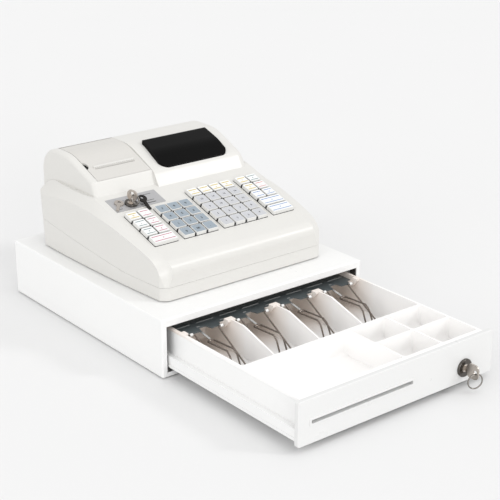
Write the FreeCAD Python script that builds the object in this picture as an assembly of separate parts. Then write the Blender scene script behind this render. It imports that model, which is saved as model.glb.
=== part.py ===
import FreeCAD, Part
import math
import os
from FreeCAD import Vector

# Electronic cash register standing on an open cash drawer, in millimetres.
# X runs to the right, Y to the back and Z up; the origin is the middle of the cabinet's footprint.

# Cabinet
cabinet_width = 335.0
cabinet_depth = 368.0
cabinet_height = 80.0
foot_height = 2.0
foot_radius = 9.0
foot_inset = 22.0
sheet = 1.0
fold_radius = 2.0
rim_top = 10.0
rim_side = 7.0
rim_return = 12.0
lip_height = 5.5
seat_gap = 0.2

# Drawer front
drawer_travel = 250.0
panel_height = 57.0
panel_lift = 8.5
panel_side_gap = 1.0
panel_depth = 6.0
panel_sheet = 1.2
panel_corner = 3.0
slot_length = 160.0
slot_height = 4.6
slot_centre_x = -60.0
slot_centre_height = 27.5
slot_frame = 2.8
slot_frame_proud = 0.8
lock_offset_x = 109.3
lock_height = 19.5

# Drawer pan
pan_length = 338.0
pan_lift = 14.5
pan_wall_height = 45.7
runner_height = 15.5
runner_gap = 9.5
ledge_width = 7.7
roller_clearance = 0.1

# Till tray
tray_height = 63.7
tray_wall = 2.4
tray_floor = 1.8
tray_gap = 0.3
tray_rim = 2.0
tray_corner = 3.0
bill_bays = 4
bill_length = 168.0
bill_floor_lift = 4.5
bill_scoop = 20.0
coin_area_depth = 103.0
coin_area_width = 128.6
coin_columns = 2
coin_rows = 2
coin_floor_lift = 15.5
coin_scoop = 14.0
media_gap = 6.5
divider_low_height = 46.0
divider_slope_start = 88.0
divider_slope_end = 28.0
hinge_block_width = 12.0
hinge_block_height = 12.0
hinge_block_length = 9.0

# Bill clips
clip_wire = 2.2
clip_leg_spread = 19.0
clip_loop_spread = 5.0
clip_loop_shift = -4.0
clip_reach = 62.0
clip_pin_length = 5.4
clip_bend = 2.4
hinge_reach = 118.5
rail_drop = 7.9
rail_sheet = 1.2
rail_setback = 13.0
rail_tongue = 9.5
rail_end_gap = 0.4
rail_front_gap = 1.0
spring_room = 5.0
spring_width = 3.4
spring_sheet = 0.5

# Rollers
front_roller_radius = 5.0
rear_roller_radius = 6.5
roller_width = 5.6
axle_radius = 1.6
running_fit = 0.06

# Register housing
register_setback = 42.6
register_half_width = 143.3
register_length = 302.4
register_back_lean = 18.0
register_gap = 1.5
register_wall = 2.5
register_lean_height = 83.5
front_half_width = 135.0
corner_half_width = 115.0
corner_depth = 8.0
corner_bulge = 4.0
rear_corner = 8.0
rear_corner_growth = 0.18
seam_height = 18.9
seam_flat_length = 80.0
seam_rise = 0.105
seam_gap = 0.3
deck_tilt = 16.64
deck_front_height = 48.85
nose_radius = 18.0
plateau_height = 98.0
plateau_fall_radius = 34.0

# Printer and display housing
hump_half_width = 128.3
hump_height = 140.5
hump_front = 158.9
hump_face_run = 13.0
hump_face_rise = 20.0
hump_slope = 21.5
hump_crest_radius = 76.0
hump_back_radius = 36.0
hump_edge = 5.0
display_edge = 13.0
fold_round = 4.0
display_left = -30.2
display_step = 7.5
display_swell = 3.2
display_fold_round = 15.0

# Printer lid
lid_left = -117.7
lid_gap = 0.4
lid_wall = 2.5
lid_back_margin = 32.5
lid_barrel_radius = 2.8
lid_hinge_rise = 0.4
lid_pin_radius = 1.5
lid_pin_length = 2.2
lid_swing = 70.0
paper_slot_length = 63.7
paper_slot_width = 1.8
paper_slot_reach = 24.5
notch_radius = 8.5
notch_offset = 3.0
notch_reach = 34.5
wheel_radius = 13.0
wheel_width = 4.4
wheel_drop = 0.8
bay_depth = 62.0
paper_width = 57.5
paper_roll_radius = 22.0
paper_core_radius = 6.5
platen_radius = 6.0

# Display window
window_left = -14.7
window_right = 103.0
window_reach = 17.5
window_length = 58.0
window_thickness = 6.0
window_bevel = 4.5
window_corner = 13.0
window_wall = 3.0
display_panel_lap = 3.0
display_panel_thick = 3.0

# Keys
key_pitch = 19.0
key_base = 17.4
key_top = 16.6
key_height = 5.6
key_sink = 1.0
key_round = 1.0
key_dish = 0.5
key_travel = 3.0
key_stem = 5.0
stem_gap = 0.25
keyboard_reach = 42.5
keyboard_width = 235.0
bed_drop = 4.5
bed_sheet = 1.8
aperture_margin = 0.6
web_thick = 0.9
web_top = 2.4

# Mode lock, plate and keys on rings
plate_left = -120.0
plate_width = 79.0
plate_length = 31.0
plate_reach = 129.0
plate_sheet = 0.6
mode_lock_x = -90.4
mode_lock_reach = 141.0
lock_bezel_radius = 12.0
lock_body_radius = 9.3
lock_hole_gap = 0.2
lock_plug_radius = 5.5
plug_fit = 0.08
bezel_proud = 3.0
key_blade_width = 6.0
key_blade_thick = 2.0
drawer_bow_width = 19.5
drawer_bow_length = 18.0
mode_bow_width = 15.0
mode_bow_length = 15.0
key_bow_hole = 3.0
ring_radius = 9.7
ring_wire = 0.9
ring_twist = -20.0
mode_bezel_radius = 9.0
mode_body_radius = 7.0
mode_ring_hang = 40.0
mode_ring_radius = 6.8
spare_bow_radius = 6.5
spare_blade_width = 4.4
spare_key_thick = 1.6
spare_hole_radius = 2.2

# Derived heights and faces
half_width = cabinet_width / 2
half_depth = cabinet_depth / 2
cabinet_front = -half_depth
panel_front = cabinet_front - drawer_travel
panel_half = half_width - rim_side - panel_side_gap
opening_half = half_width - rim_side
opening_top = cabinet_height - rim_top
pan_front = panel_front + panel_depth
pan_back = pan_front + pan_length
pan_half = half_width - runner_gap
wall_half = pan_half - ledge_width
pan_wall_top = pan_lift + pan_wall_height
runner_top = pan_lift + runner_height
tray_half = wall_half - sheet - tray_gap
tray_front = pan_front + media_gap
transverse_y = tray_front + coin_area_depth
bill_back = transverse_y + tray_wall / 2 + bill_length
tray_back = bill_back + tray_wall
bill_floor = pan_lift + sheet + bill_floor_lift
coin_floor = pan_lift + coin_floor_lift
bay_width = (2 * (tray_half - tray_wall) - (bill_bays - 1) * tray_wall) / bill_bays
bay_pitch = bay_width + tray_wall
hinge_y = transverse_y + hinge_reach
rail_z = tray_height - rail_drop
lock_z = panel_lift + lock_height
slot_z = panel_lift + slot_centre_height
register_front = cabinet_front + register_setback
register_back = register_front + register_length
register_bottom = cabinet_height + register_gap
seam_front = cabinet_height + seam_height
deck_front_z = cabinet_height + deck_front_height
deck_slope = math.tan(math.radians(deck_tilt))
plateau_z = cabinet_height + plateau_height
hump_top = cabinet_height + hump_height
hump_y = register_front + hump_front
housing_top = hump_top + 20.0


def block(x0, x1, y0, y1, z0, z1):
    """Rectangular solid between two corners."""
    return Part.makeBox(x1 - x0, y1 - y0, z1 - z0, Vector(x0, y0, z0))


def prism_x(points, x0, x1):
    """Solid with an outline in Y and Z, pulled along X."""
    wire = Part.makePolygon([Vector(x0, y, z) for y, z in points + points[:1]])
    return Part.Face(wire).extrude(Vector(x1 - x0, 0, 0))


def prism_z(points, z0, z1):
    """Solid with an outline in X and Y, pulled up along Z."""
    wire = Part.makePolygon([Vector(x, y, z0) for x, y in points + points[:1]])
    return Part.Face(wire).extrude(Vector(0, 0, z1 - z0))


def rod(centre, direction, radius, length):
    """Round bar from its start point along a direction."""
    return Part.makeCylinder(radius, length, Vector(*centre), Vector(*direction))


def rod_x(x0, x1, y, z, radius):
    """Round bar along X."""
    return rod((x0, y, z), (1, 0, 0), radius, x1 - x0)


def rod_y(x, y0, y1, z, radius):
    """Round bar along Y."""
    return rod((x, y0, z), (0, 1, 0), radius, y1 - y0)


def rod_z(x, y, z0, z1, radius):
    """Round bar along Z."""
    return rod((x, y, z0), (0, 0, 1), radius, z1 - z0)


def join(shapes):
    """One shape from overlapping or touching ones."""
    first = shapes[0]
    return first.fuse(shapes[1:]).removeSplitter() if len(shapes) > 1 else first


def runs_along(edge, axis):
    """Whether a straight edge is parallel to an axis."""
    if not isinstance(edge.Curve, Part.Line):
        return False
    return abs(edge.tangentAt(edge.FirstParameter).dot(axis)) > 0.999


def round_edges(shape, radius, axis):
    """Round every edge that runs along an axis."""
    edges = [edge for edge in shape.Edges if runs_along(edge, axis)]
    return shape.makeFillet(radius, edges)


def round_block(x0, x1, y0, y1, z0, z1, radius, axis=Vector(0, 0, 1)):
    """Rectangular solid with the edges along one axis rounded."""
    return round_edges(block(x0, x1, y0, y1, z0, z1), radius, axis)


def mirror_x(shape):
    """Left and right copy of a shape."""
    return shape.mirror(Vector(0, 0, 0), Vector(1, 0, 0))


def both_sides(shape):
    """A shape and its mirror image, as separate solids."""
    return Part.makeCompound([shape, mirror_x(shape)])


def bent_path(points, bend):
    """Wire of straight runs whose corners are rounded by tangent arcs."""
    edges = []
    start = points[0]
    for index in range(1, len(points) - 1):
        corner = points[index]
        incoming = (corner - points[index - 1]).normalize()
        outgoing = (points[index + 1] - corner).normalize()
        turn = incoming.getAngle(outgoing)
        cut = bend * math.tan(turn / 2)
        first = corner - incoming * cut
        last = corner + outgoing * cut
        inward = (outgoing - incoming).normalize()
        reach = bend / math.cos(turn / 2) - bend
        edges.append(Part.LineSegment(start, first).toShape())
        edges.append(Part.Arc(first, corner + inward * reach, last).toShape())
        start = last
    edges.append(Part.LineSegment(start, points[-1]).toShape())
    return Part.Wire(edges)


def round_bar(points, bend, radius):
    """Round bar that follows a bent path."""
    path = bent_path(points, bend)
    normal = (points[1] - points[0]).normalize()
    section = Part.Wire(Part.Circle(points[0], normal, radius).toShape())
    return path.makePipeShell([section], True, False)


def save(name, shape):
    """Write one sub-part."""
    shape.exportStep("parts/" + name + ".step")


def cabinet_shell():
    """Folded steel cover of the cabinet with its front rim."""
    outer = block(-half_width, half_width, -half_depth, half_depth, foot_height, cabinet_height)
    upper = []
    for edge in outer.Edges:
        low = edge.BoundBox.ZMin
        if low > cabinet_height - sheet or runs_along(edge, Vector(0, 0, 1)):
            upper.append(edge)
    outer = outer.makeFillet(fold_radius, upper)
    inner_half = half_width - sheet
    inner = block(-inner_half, inner_half, cabinet_front + sheet, half_depth - sheet,
                  0, cabinet_height - sheet)
    opening = block(-opening_half, opening_half, cabinet_front - sheet, cabinet_front + 2 * sheet,
                    0, opening_top)
    back_of_rim = cabinet_front + sheet + rim_return
    rim = block(-opening_half - sheet, opening_half + sheet, cabinet_front + sheet / 2, back_of_rim,
                foot_height + 2 * sheet, opening_top + sheet)
    rim = rim.cut(block(-opening_half, opening_half, cabinet_front - sheet, back_of_rim + sheet,
                        0, opening_top))
    shell = join([outer.cut(inner).cut(opening), rim])
    for x, z in back_screw_places():
        shell = shell.cut(rod_y(x, half_depth - 2 * sheet, half_depth + sheet, z, screw_hole))
    return shell


screw_radius = 1.5
screw_head = 3.2
screw_head_height = 1.6
screw_hole = screw_radius + 0.1
back_flange = 12.0


def back_screw_places():
    """Places of the screws along the lower back of the cabinet."""
    row = (-0.85, -0.5, 0.5, 0.85)
    return [(share * half_width, foot_height + back_flange / 2 + sheet) for share in row]


def cabinet_base_plate():
    """Bottom plate with its front lip and its turned-up flanges."""
    side = half_width - sheet - seat_gap
    back = half_depth - sheet - seat_gap
    top = foot_height + sheet
    lip_side = opening_half - seat_gap
    plate = block(-side, side, cabinet_front + sheet + seat_gap, back, foot_height, top)
    lip_plate = block(-lip_side, lip_side, cabinet_front, cabinet_front + 4 * sheet, foot_height, top)
    lip = block(-lip_side, lip_side, cabinet_front, cabinet_front + sheet,
                foot_height, foot_height + lip_height)
    flange = block(-side, side, back - sheet, back, foot_height, top + back_flange)
    plate = join([plate, lip_plate, lip, flange])
    for x, z in back_screw_places():
        plate = plate.cut(rod_y(x, back - 2 * sheet, back + sheet, z, screw_hole))
    return plate


def screws():
    """Pan-head screws that hold the cabinet's cover to its bottom plate."""
    solids = []
    for x, z in back_screw_places():
        head = rod_y(x, half_depth, half_depth + screw_head_height, z, screw_head)
        rim = [edge for edge in head.Edges if edge.BoundBox.YMin > half_depth + sheet]
        head = head.makeFillet(screw_head_height * 0.6, rim)
        shank = rod_y(x, half_depth - 5 * sheet, half_depth, z, screw_radius)
        solids.append(join([head, shank]))
    return Part.makeCompound(solids)


register_foot_radius = 7.0


def rubber_feet():
    """Feet under the cabinet and pads under the register."""
    solids = []
    for side in (-1, 1):
        for end in (-1, 1):
            x = side * (half_width - foot_inset)
            y = end * (half_depth - foot_inset)
            foot = rod_z(x, y, 0, foot_height, foot_radius)
            solids.append(foot.makeFillet(fold_radius / 4, [foot.Edges[2]]))
            pad_x = side * (front_half_width - foot_inset)
            pad_y = register_front + foot_inset
            if end > 0:
                pad_y = register_back - register_back_lean - foot_inset
            solids.append(rod_z(pad_x, pad_y, cabinet_height, register_bottom, register_foot_radius))
    return Part.makeCompound(solids)


channel_flange = 6.3
channel_sheet = 1.2
channel_front = cabinet_front + sheet + rim_return + 3.0
channel_back_gap = 20.0
channel_height = 2 * rear_roller_radius + 2 * roller_clearance
channel_floor = pan_lift + 1.0
front_roller_y = cabinet_front + sheet + rim_return + 9.0
front_roller_z = pan_lift - roller_clearance - front_roller_radius
front_roller_x = pan_half - 10.0
rear_roller_y = pan_back - 12.0
rear_roller_z = channel_floor + roller_clearance + rear_roller_radius
rear_roller_x = pan_half + 1.0
axle_proud = 0.2


def cabinet_rails():
    """Channels that guide the drawer's rear rollers, with brackets for the front rollers."""
    outer = half_width - sheet - seat_gap
    inner = outer - channel_sheet - channel_flange
    back = half_depth - channel_back_gap
    top = channel_floor + channel_height
    web = block(outer - channel_sheet, outer, channel_front, back,
                foot_height + sheet, top + channel_sheet)
    low = block(inner, outer, channel_front, back, channel_floor - channel_sheet, channel_floor)
    high = block(inner, outer, channel_front, back, top, top + channel_sheet)
    foot = block(front_roller_x + roller_width + 1.0, outer, front_roller_y - 5.0,
                 front_roller_y + 5.0, foot_height + sheet, foot_height + 2 * sheet)
    ear_x = front_roller_x + roller_width + 1.0
    ear = block(ear_x, ear_x + sheet, front_roller_y - 5.0, front_roller_y + 5.0,
                foot_height + sheet, channel_floor - channel_sheet - 1.2)
    axle = rod_x(front_roller_x - 0.4, ear_x + sheet / 2, front_roller_y, front_roller_z, axle_radius)
    rail = join([web, low, high, foot, ear, axle])
    return both_sides(rail)


def roller(x0, y, z, radius):
    """Roller with a bore for its axle."""
    body = rod_x(x0, x0 + roller_width, y, z, radius)
    return body.cut(rod_x(x0 - 1, x0 + roller_width + 1, y, z, axle_radius + running_fit))


def cabinet_rollers():
    """Two rollers that carry the drawer at the cabinet's mouth."""
    return both_sides(roller(front_roller_x, front_roller_y, front_roller_z, front_roller_radius))


def drawer_rollers():
    """Two rollers at the drawer's rear end."""
    return both_sides(roller(rear_roller_x, rear_roller_y, rear_roller_z, rear_roller_radius))


striker_z = foot_height + 34.0
striker_radius = 2.0
striker_head = 5.0
striker_reach = 6.0
striker_head_thick = 3.0
pan_back_closed = pan_back + drawer_travel
lever_thick = 2.4
lever_y = pan_back_closed + 1.8
lever_arm = 36.0
lever_rise = 8.0
lever_pivot_radius = 2.0
lever_slot = 5.8
latch_angle = 12.0


def latch_solenoid():
    """Solenoid of the drawer latch, with the pin that its lever turns on."""
    back = half_depth - sheet - seat_gap
    front = lever_y + lever_thick + 0.8
    pivot_x = -lever_arm
    pivot_z = striker_z + lever_rise
    frame = block(pivot_x - 24, pivot_x + 16, front, back - sheet - seat_gap,
                  foot_height + sheet, foot_height + 27.0)
    window = block(pivot_x - 20, pivot_x + 12, front - 1, back, foot_height + 6.0, foot_height + 22.0)
    coil = rod_z(pivot_x - 4, (front + back) / 2 - 0.5, foot_height + 6.0, foot_height + 22.0, 7.0)
    post = block(pivot_x - 5, pivot_x + 5, front, front + 1.5, foot_height + 27.0, pivot_z + 5.0)
    pin = rod_y(pivot_x, lever_y - 0.6, front + 1.0, pivot_z, lever_pivot_radius)
    return join([frame.cut(window), coil, post, pin])


def latch_lever():
    """Lever that drops over the drawer's striker."""
    pivot_z = striker_z + lever_rise
    y0 = lever_y
    y1 = lever_y + lever_thick
    low = striker_z + striker_head + 0.8
    arm = block(-lever_arm, 7.0, y0, y1, low, low + 8.0)
    eye = rod_y(-lever_arm, y0, y1, pivot_z, 5.0)
    lever = join([arm, eye])
    slot = block(-lever_slot / 2, lever_slot / 2, y0 - 1, y1 + 1, low - 1, low + 5.0)
    bore = rod_y(-lever_arm, y0 - 1, y1 + 1, pivot_z, lever_pivot_radius + running_fit)
    return lever.cut(slot).cut(bore)


def pan_side():
    """Right side of the drawer pan: runner, ledge and wall in one fold."""
    outline = [(pan_half - sheet, pan_lift), (pan_half, pan_lift), (pan_half, runner_top),
               (wall_half, runner_top), (wall_half, pan_wall_top), (wall_half - sheet, pan_wall_top),
               (wall_half - sheet, runner_top - sheet), (pan_half - sheet, runner_top - sheet)]
    wire = Part.makePolygon([Vector(x, pan_front, z) for x, z in outline + outline[:1]])
    return Part.Face(wire).extrude(Vector(0, pan_length, 0))


def drawer_pan():
    """Steel pan of the drawer with its runners, axles and striker."""
    floor = block(-pan_half, pan_half, pan_front, pan_back, pan_lift, pan_lift + sheet)
    front = block(-wall_half, wall_half, pan_front, pan_front + sheet, pan_lift, pan_wall_top)
    back = block(-wall_half, wall_half, pan_back - sheet, pan_back, pan_lift, pan_wall_top)
    side = pan_side()
    groove = block(pan_half - sheet / 3, pan_half + sheet, pan_front - 1, pan_back + 1,
                   pan_lift + 4.0, pan_lift + 4.8)
    axle = rod_x(pan_half - sheet, rear_roller_x + roller_width + axle_proud, rear_roller_y, rear_roller_z,
                 axle_radius)
    right = join([side.cut(groove), axle])
    shank = rod_y(0, pan_back - sheet / 2, pan_back + striker_reach + 1.0, striker_z, striker_radius)
    head = rod_y(0, pan_back + striker_reach, pan_back + striker_reach + striker_head_thick,
                 striker_z, striker_head)
    pan = join([floor, front, back, right, mirror_x(right), shank, head])
    pan = pan.cut(rod_y(lock_offset_x, pan_front - 1, pan_front + 2 * sheet, lock_z,
                        lock_body_radius + lock_hole_gap))
    media = block(slot_centre_x - slot_length / 2, slot_centre_x + slot_length / 2,
                  pan_front - 1, pan_front + 2 * sheet, slot_z - slot_height / 2,
                  slot_z + slot_height / 2)
    return pan.cut(media)


def slot_outline(grow, y0, y1):
    """Solid of the media slot, grown on each side."""
    half = slot_length / 2 + grow
    rise = slot_height / 2 + grow
    return round_block(slot_centre_x - half, slot_centre_x + half, y0, y1, slot_z - rise,
                       slot_z + rise, rise * 0.45, Vector(0, 1, 0))


def drawer_front():
    """Folded front panel with the framed media slot and the lock's hole."""
    top = panel_lift + panel_height
    body = round_block(-panel_half, panel_half, panel_front, pan_front, panel_lift, top,
                       panel_corner, Vector(0, 1, 0))
    face_edges = [edge for edge in body.Edges if edge.BoundBox.YMax < panel_front + 0.01]
    body = body.makeFillet(panel_sheet * 0.75, face_edges)
    inside = round_block(-panel_half + panel_sheet, panel_half - panel_sheet,
                         panel_front + panel_sheet, pan_front + 1, panel_lift + panel_sheet,
                         top - panel_sheet, panel_corner - panel_sheet, Vector(0, 1, 0))
    frame = slot_outline(slot_frame, panel_front - slot_frame_proud, panel_front + panel_sheet)
    rim = [edge for edge in frame.Edges if edge.BoundBox.YMax < panel_front - slot_frame_proud + 0.01]
    frame = frame.makeFillet(slot_frame_proud * 0.7, rim)
    sleeve = slot_outline(panel_sheet, panel_front, pan_front)
    panel = join([body.cut(inside), frame, sleeve])
    panel = panel.cut(slot_outline(0, panel_front - 2, pan_front + 1))
    return panel.cut(rod_y(lock_offset_x, panel_front - 1, pan_front, lock_z,
                           lock_body_radius + lock_hole_gap))


def tray_pocket(x0, x1, y0, y1, floor, scoop_front, scoop_back):
    """Space of one compartment with rounded corners and scooped ends."""
    top = tray_height + 5.0
    pocket = block(x0, x1, y0, y1, floor, top)
    pocket = round_edges(pocket, tray_corner, Vector(0, 0, 1))
    ends = []
    for edge in pocket.Edges:
        if edge.BoundBox.ZMax < floor + 0.01 and runs_along(edge, Vector(1, 0, 0)):
            ends.append(edge)
    scoops = {True: scoop_front, False: scoop_back}
    for edge in ends:
        radius = scoops[edge.BoundBox.YMin < (y0 + y1) / 2]
        cutter = block(x0 - 1, x1 + 1, 0, radius, 0, radius)
        corner = rod_x(x0 - 1, x1 + 1, radius, radius, radius)
        wedge = cutter.cut(corner)
        if edge.BoundBox.YMin < (y0 + y1) / 2:
            wedge.translate(Vector(0, y0, floor))
        else:
            wedge = wedge.mirror(Vector(0, 0, 0), Vector(0, 1, 0))
            wedge.translate(Vector(0, y1, floor))
        pocket = pocket.cut(wedge)
    return pocket


def bay_left(index):
    """Left side of a bill bay."""
    return -tray_half + tray_wall + index * bay_pitch


def tray_pockets():
    """All compartments of the till tray."""
    pockets = []
    for index in range(bill_bays):
        left = bay_left(index)
        pockets.append(tray_pocket(left, left + bay_width, transverse_y + tray_wall / 2, bill_back,
                                   bill_floor, bill_scoop, tray_corner))
    inner_front = tray_front + tray_wall
    back = transverse_y - tray_wall / 2
    coin_left = tray_half - coin_area_width
    pockets.append(tray_pocket(-tray_half + tray_wall, coin_left - tray_wall, inner_front, back,
                               coin_floor, tray_corner * 2, tray_corner * 2))
    width = (coin_area_width - coin_columns * tray_wall) / coin_columns
    depth = (back - inner_front - (coin_rows - 1) * tray_wall) / coin_rows
    for column in range(coin_columns):
        for row in range(coin_rows):
            x0 = coin_left + column * (width + tray_wall)
            y0 = inner_front + row * (depth + tray_wall)
            pockets.append(tray_pocket(x0, x0 + width, y0, y0 + depth, coin_floor,
                                       coin_scoop, coin_scoop))
    return pockets


def divider_x(index):
    """Middle of the wall after a bill bay."""
    return bay_left(index) + bay_width + tray_wall / 2


def till_tray():
    """Plastic tray with bill bays, a wide bay and coin cups."""
    bills = block(-tray_half, tray_half, transverse_y - tray_wall / 2, tray_back,
                  bill_floor - tray_floor, tray_height)
    coins = block(-tray_half, tray_half, tray_front, transverse_y, coin_floor - tray_floor,
                  tray_height)
    rim = block(-wall_half, wall_half, pan_front + sheet + tray_gap, tray_back,
                pan_wall_top + seat_gap, tray_height)
    tray = join([bills, coins, rim])
    top_edges = []
    for edge in tray.Edges:
        box = edge.BoundBox
        if box.ZMin > tray_height - 0.01 and max(abs(box.XMin), abs(box.XMax)) > wall_half - 0.01:
            top_edges.append(edge)
    tray = tray.makeFillet(tray_rim * 0.4, top_edges)
    for pocket in tray_pockets():
        tray = tray.cut(pocket)
    low = min(divider_low_height, tray_height)
    wall_face = transverse_y + tray_wall / 2
    for index in range(bill_bays - 1):
        x = divider_x(index)
        outline = [(wall_face, low), (wall_face + divider_slope_end, low),
                   (wall_face + divider_slope_start, tray_height),
                   (wall_face + divider_slope_start, tray_height + 1), (wall_face, tray_height + 1)]
        tray = tray.cut(prism_x(outline, x - tray_wall, x + tray_wall))
    blocks = []
    for x in hinge_block_places():
        blocks.append(hinge_block(x))
    tray = join([tray] + blocks)
    inner = tray_half - tray_wall
    return tray.cut(block(-inner, inner, block_back, bill_back, rail_z, tray_height + 1))


def hinge_block_places():
    """Middles of the blocks that carry the clip rail."""
    inner = [divider_x(index) for index in range(bill_bays - 1)]
    edge = tray_half - tray_wall / 2
    return [-edge] + inner + [edge]


def hinge_block(x):
    """Block on a divider in front of the clip rail, with a lower step that carries the rail."""
    half = hinge_block_width / 2
    x0 = max(x - half, -tray_half)
    x1 = min(x + half, tray_half)
    low = tray_height - hinge_block_height
    front = block_back - hinge_block_length
    return prism_x([(front, tray_height), (front, tray_height - tray_wall), (block_back, low),
                    (bill_back + 1, low), (bill_back + 1, tray_height)], x0, x1)


def clip_centre(index):
    """Middle of a bill clip."""
    return bay_left(index) + bay_width / 2


rail_front = hinge_y + rail_setback
rail_back = bill_back - rail_end_gap
block_back = rail_front - rail_tongue + 1.0
wire_radius = clip_wire / 2
tab_wall = 0.8
tab_start = clip_leg_spread + clip_bend + 0.2
tab_length = 4.2
hinge_z = rail_z + wire_radius + running_fit + tab_wall
clip_drop = hinge_z - bill_floor - wire_radius - tray_gap


def rail_outline():
    """Outline of the clip rail, with a tongue on each side of every clip."""
    side = tray_half - tray_wall - rail_end_gap
    tongue = rail_front - rail_tongue
    slant = 3.0
    points = [(-side, rail_back), (-side, rail_front)]
    for index in range(bill_bays):
        x = clip_centre(index)
        left = x - tab_start - tab_length
        right = x + tab_start + tab_length
        points += [(left - slant, rail_front), (left, tongue), (x - spring_room, tongue),
                   (x - spring_room + slant, rail_front), (x + spring_room + slant, rail_front),
                   (x + spring_room + 2 * slant, tongue), (right, tongue), (right + slant, rail_front)]
    points += [(side, rail_front), (side, rail_back)]
    return points


dash_length = 27.0
dash_width = 1.3
dash_rise = 0.5
short_dash = 5.0
short_dash_inset = 3.0


def rail_dash(x, y, length):
    """One embossed dash."""
    top = rail_z + rail_sheet
    half = dash_width / 2
    return round_block(x - length / 2, x + length / 2, y - half, y + half, top - rail_sheet / 2,
                       top + dash_rise, dash_width * 0.45)


def rail_dashes():
    """Embossed dashes along the clip rail: a long row, and a short one before each gap."""
    count = 8
    pitch = 2 * tray_half / count
    y = rail_front + (rail_back - rail_front) * 0.38
    dashes = [rail_dash(-tray_half + (index + 0.5) * pitch, y, dash_length) for index in range(count)]
    for index in range(1, count):
        dashes.append(rail_dash(-tray_half + index * pitch, rail_front + short_dash_inset, short_dash))
    return dashes


def hinge_tab(x):
    """Rolled tab that holds one pin of a bill clip, with its strap to the rail."""
    half = tab_length / 2
    outer = wire_radius + running_fit + tab_wall
    tube = rod_x(x - half, x + half, hinge_y, hinge_z, outer)
    strap = block(x - half, x + half, hinge_y, rail_front - rail_tongue + 1.0, rail_z,
                  rail_z + tab_wall)
    return tube.fuse(strap)


def clip_rail():
    """Steel rail across the bill bays with the hinge tabs of the clips."""
    rail = prism_z(rail_outline(), rail_z, rail_z + rail_sheet)
    pieces = [rail] + rail_dashes()
    for index in range(bill_bays):
        for side in (-1, 1):
            pieces.append(hinge_tab(clip_centre(index) + side * (tab_start + tab_length / 2)))
    rail = join(pieces)
    for index in range(bill_bays):
        x = clip_centre(index)
        reach = tab_start + tab_length + 1.0
        rail = rail.cut(rod_x(x - reach, x - tab_start + 1.0, hinge_y, hinge_z,
                              wire_radius + running_fit))
        rail = rail.cut(rod_x(x + tab_start - 1.0, x + reach, hinge_y, hinge_z,
                              wire_radius + running_fit))
    return rail


loop_dy = -14.0
loop_dz = -8.3


def clip_springs():
    """Leaf springs under the rail that press on the loops of the clips."""
    strips = []
    tip_y = hinge_y + loop_dy + 1.0
    tip_z = hinge_z + loop_dz + wire_radius + tray_gap
    bend_y = rail_front - 2.0
    tail_y = rail_back - rail_tongue
    for index in range(bill_bays):
        x = clip_centre(index)
        x += clip_loop_shift
        half = spring_width / 2
        strips.append(prism_x([(tip_y, tip_z), (bend_y, rail_z - spring_sheet),
                               (tail_y, rail_z - spring_sheet), (tail_y, rail_z), (bend_y, rail_z),
                               (tip_y, tip_z + spring_sheet * 1.4)], x - half, x + half))
    return Part.makeCompound(strips)


def clip_side(x, side):
    """Corner points of one half of a clip, from its pin to the middle loop."""
    leg = side * clip_leg_spread
    loop = side * clip_loop_spread + clip_loop_shift
    steps = [
        (side * (tab_start + clip_pin_length), 0.0, 0.0),
        (leg, 0.0, 0.0),
        (leg - side, -clip_reach, -clip_drop + 1.0),
        (loop + side, -clip_reach - 5.0, -clip_drop),
        (loop + side * 0.8, -clip_reach - 4.6, -clip_drop + 12.0),
        (loop + side * 0.4, -clip_reach + 1.5, -clip_drop + 25.0),
        (loop, -clip_reach + 8.0, loop_dz + 2.0),
        (loop, loop_dy, loop_dz)]
    return [Vector(x + dx, hinge_y + dy, hinge_z + dz) for dx, dy, dz in steps]


def bill_clip(index):
    """Bent wire clip of one bay: two legs that end in a raised double loop."""
    x = clip_centre(index)
    right = clip_side(x, 1)
    left = clip_side(x, -1)
    return round_bar(right + left[::-1], clip_bend, wire_radius)


def lock_body(x, y, z, depth, bezel, case_radius):
    """Lock case pointing along +Y from its face, with a ring round the plug."""
    ring = rod_y(x, y - bezel_proud, y, z, bezel)
    face = [edge for edge in ring.Edges if edge.BoundBox.YMax < y - bezel_proud + 0.01]
    ring = ring.makeFillet(bezel_proud * 0.5, face)
    case = rod_y(x, y, y + depth, z, case_radius)
    body = join([ring, case])
    return body.cut(rod_y(x, y - bezel_proud - 1, y + depth + 1, z, lock_plug_radius + plug_fit))


drawer_lock_depth = panel_depth + media_gap - 1.6
cam_length = 11.0
cam_thick = 1.0


def drawer_lock():
    """Lock case in the drawer's front."""
    return lock_body(lock_offset_x, panel_front, lock_z, drawer_lock_depth, lock_bezel_radius,
                     lock_body_radius)


def key_bow(x, y, z, width, length):
    """Flat key head with its neck, in the Y and Z plane, its neck ending at the given point."""
    half_thick = key_blade_thick / 2
    neck = block(x - half_thick, x + half_thick, y - 4.0, y + 1.0, z - key_blade_width / 2,
                 z + key_blade_width / 2)
    head = round_block(x - half_thick, x + half_thick, y - 4.0 - length, y - 3.5, z - width / 2,
                       z + width / 2, 6.0, Vector(1, 0, 0))
    hole = rod_x(x - 3, x + 3, y - length + 1.0, z, key_bow_hole)
    return join([neck, head]).cut(hole)


def lock_plug(x, y, z, depth, width, length):
    """Turning plug of a lock with a key in it, the key's head as wide and long as given."""
    plug = rod_y(x, y - bezel_proud + 0.8, y + depth, z, lock_plug_radius)
    return join([plug, key_bow(x, y - bezel_proud + 0.8, z, width, length)])


def drawer_key():
    """Plug, key and cam of the drawer lock."""
    back = panel_front + drawer_lock_depth
    cam = block(lock_offset_x - 4, lock_offset_x + cam_length, back + 0.3, back + 0.3 + cam_thick,
                lock_z - 4, lock_z + 4)
    neck = rod_y(lock_offset_x, back - 1, back + 0.4, lock_z, 3.0)
    plug = lock_plug(lock_offset_x, panel_front, lock_z, drawer_lock_depth, drawer_bow_width,
                     drawer_bow_length)
    return join([plug, neck, cam])


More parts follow.
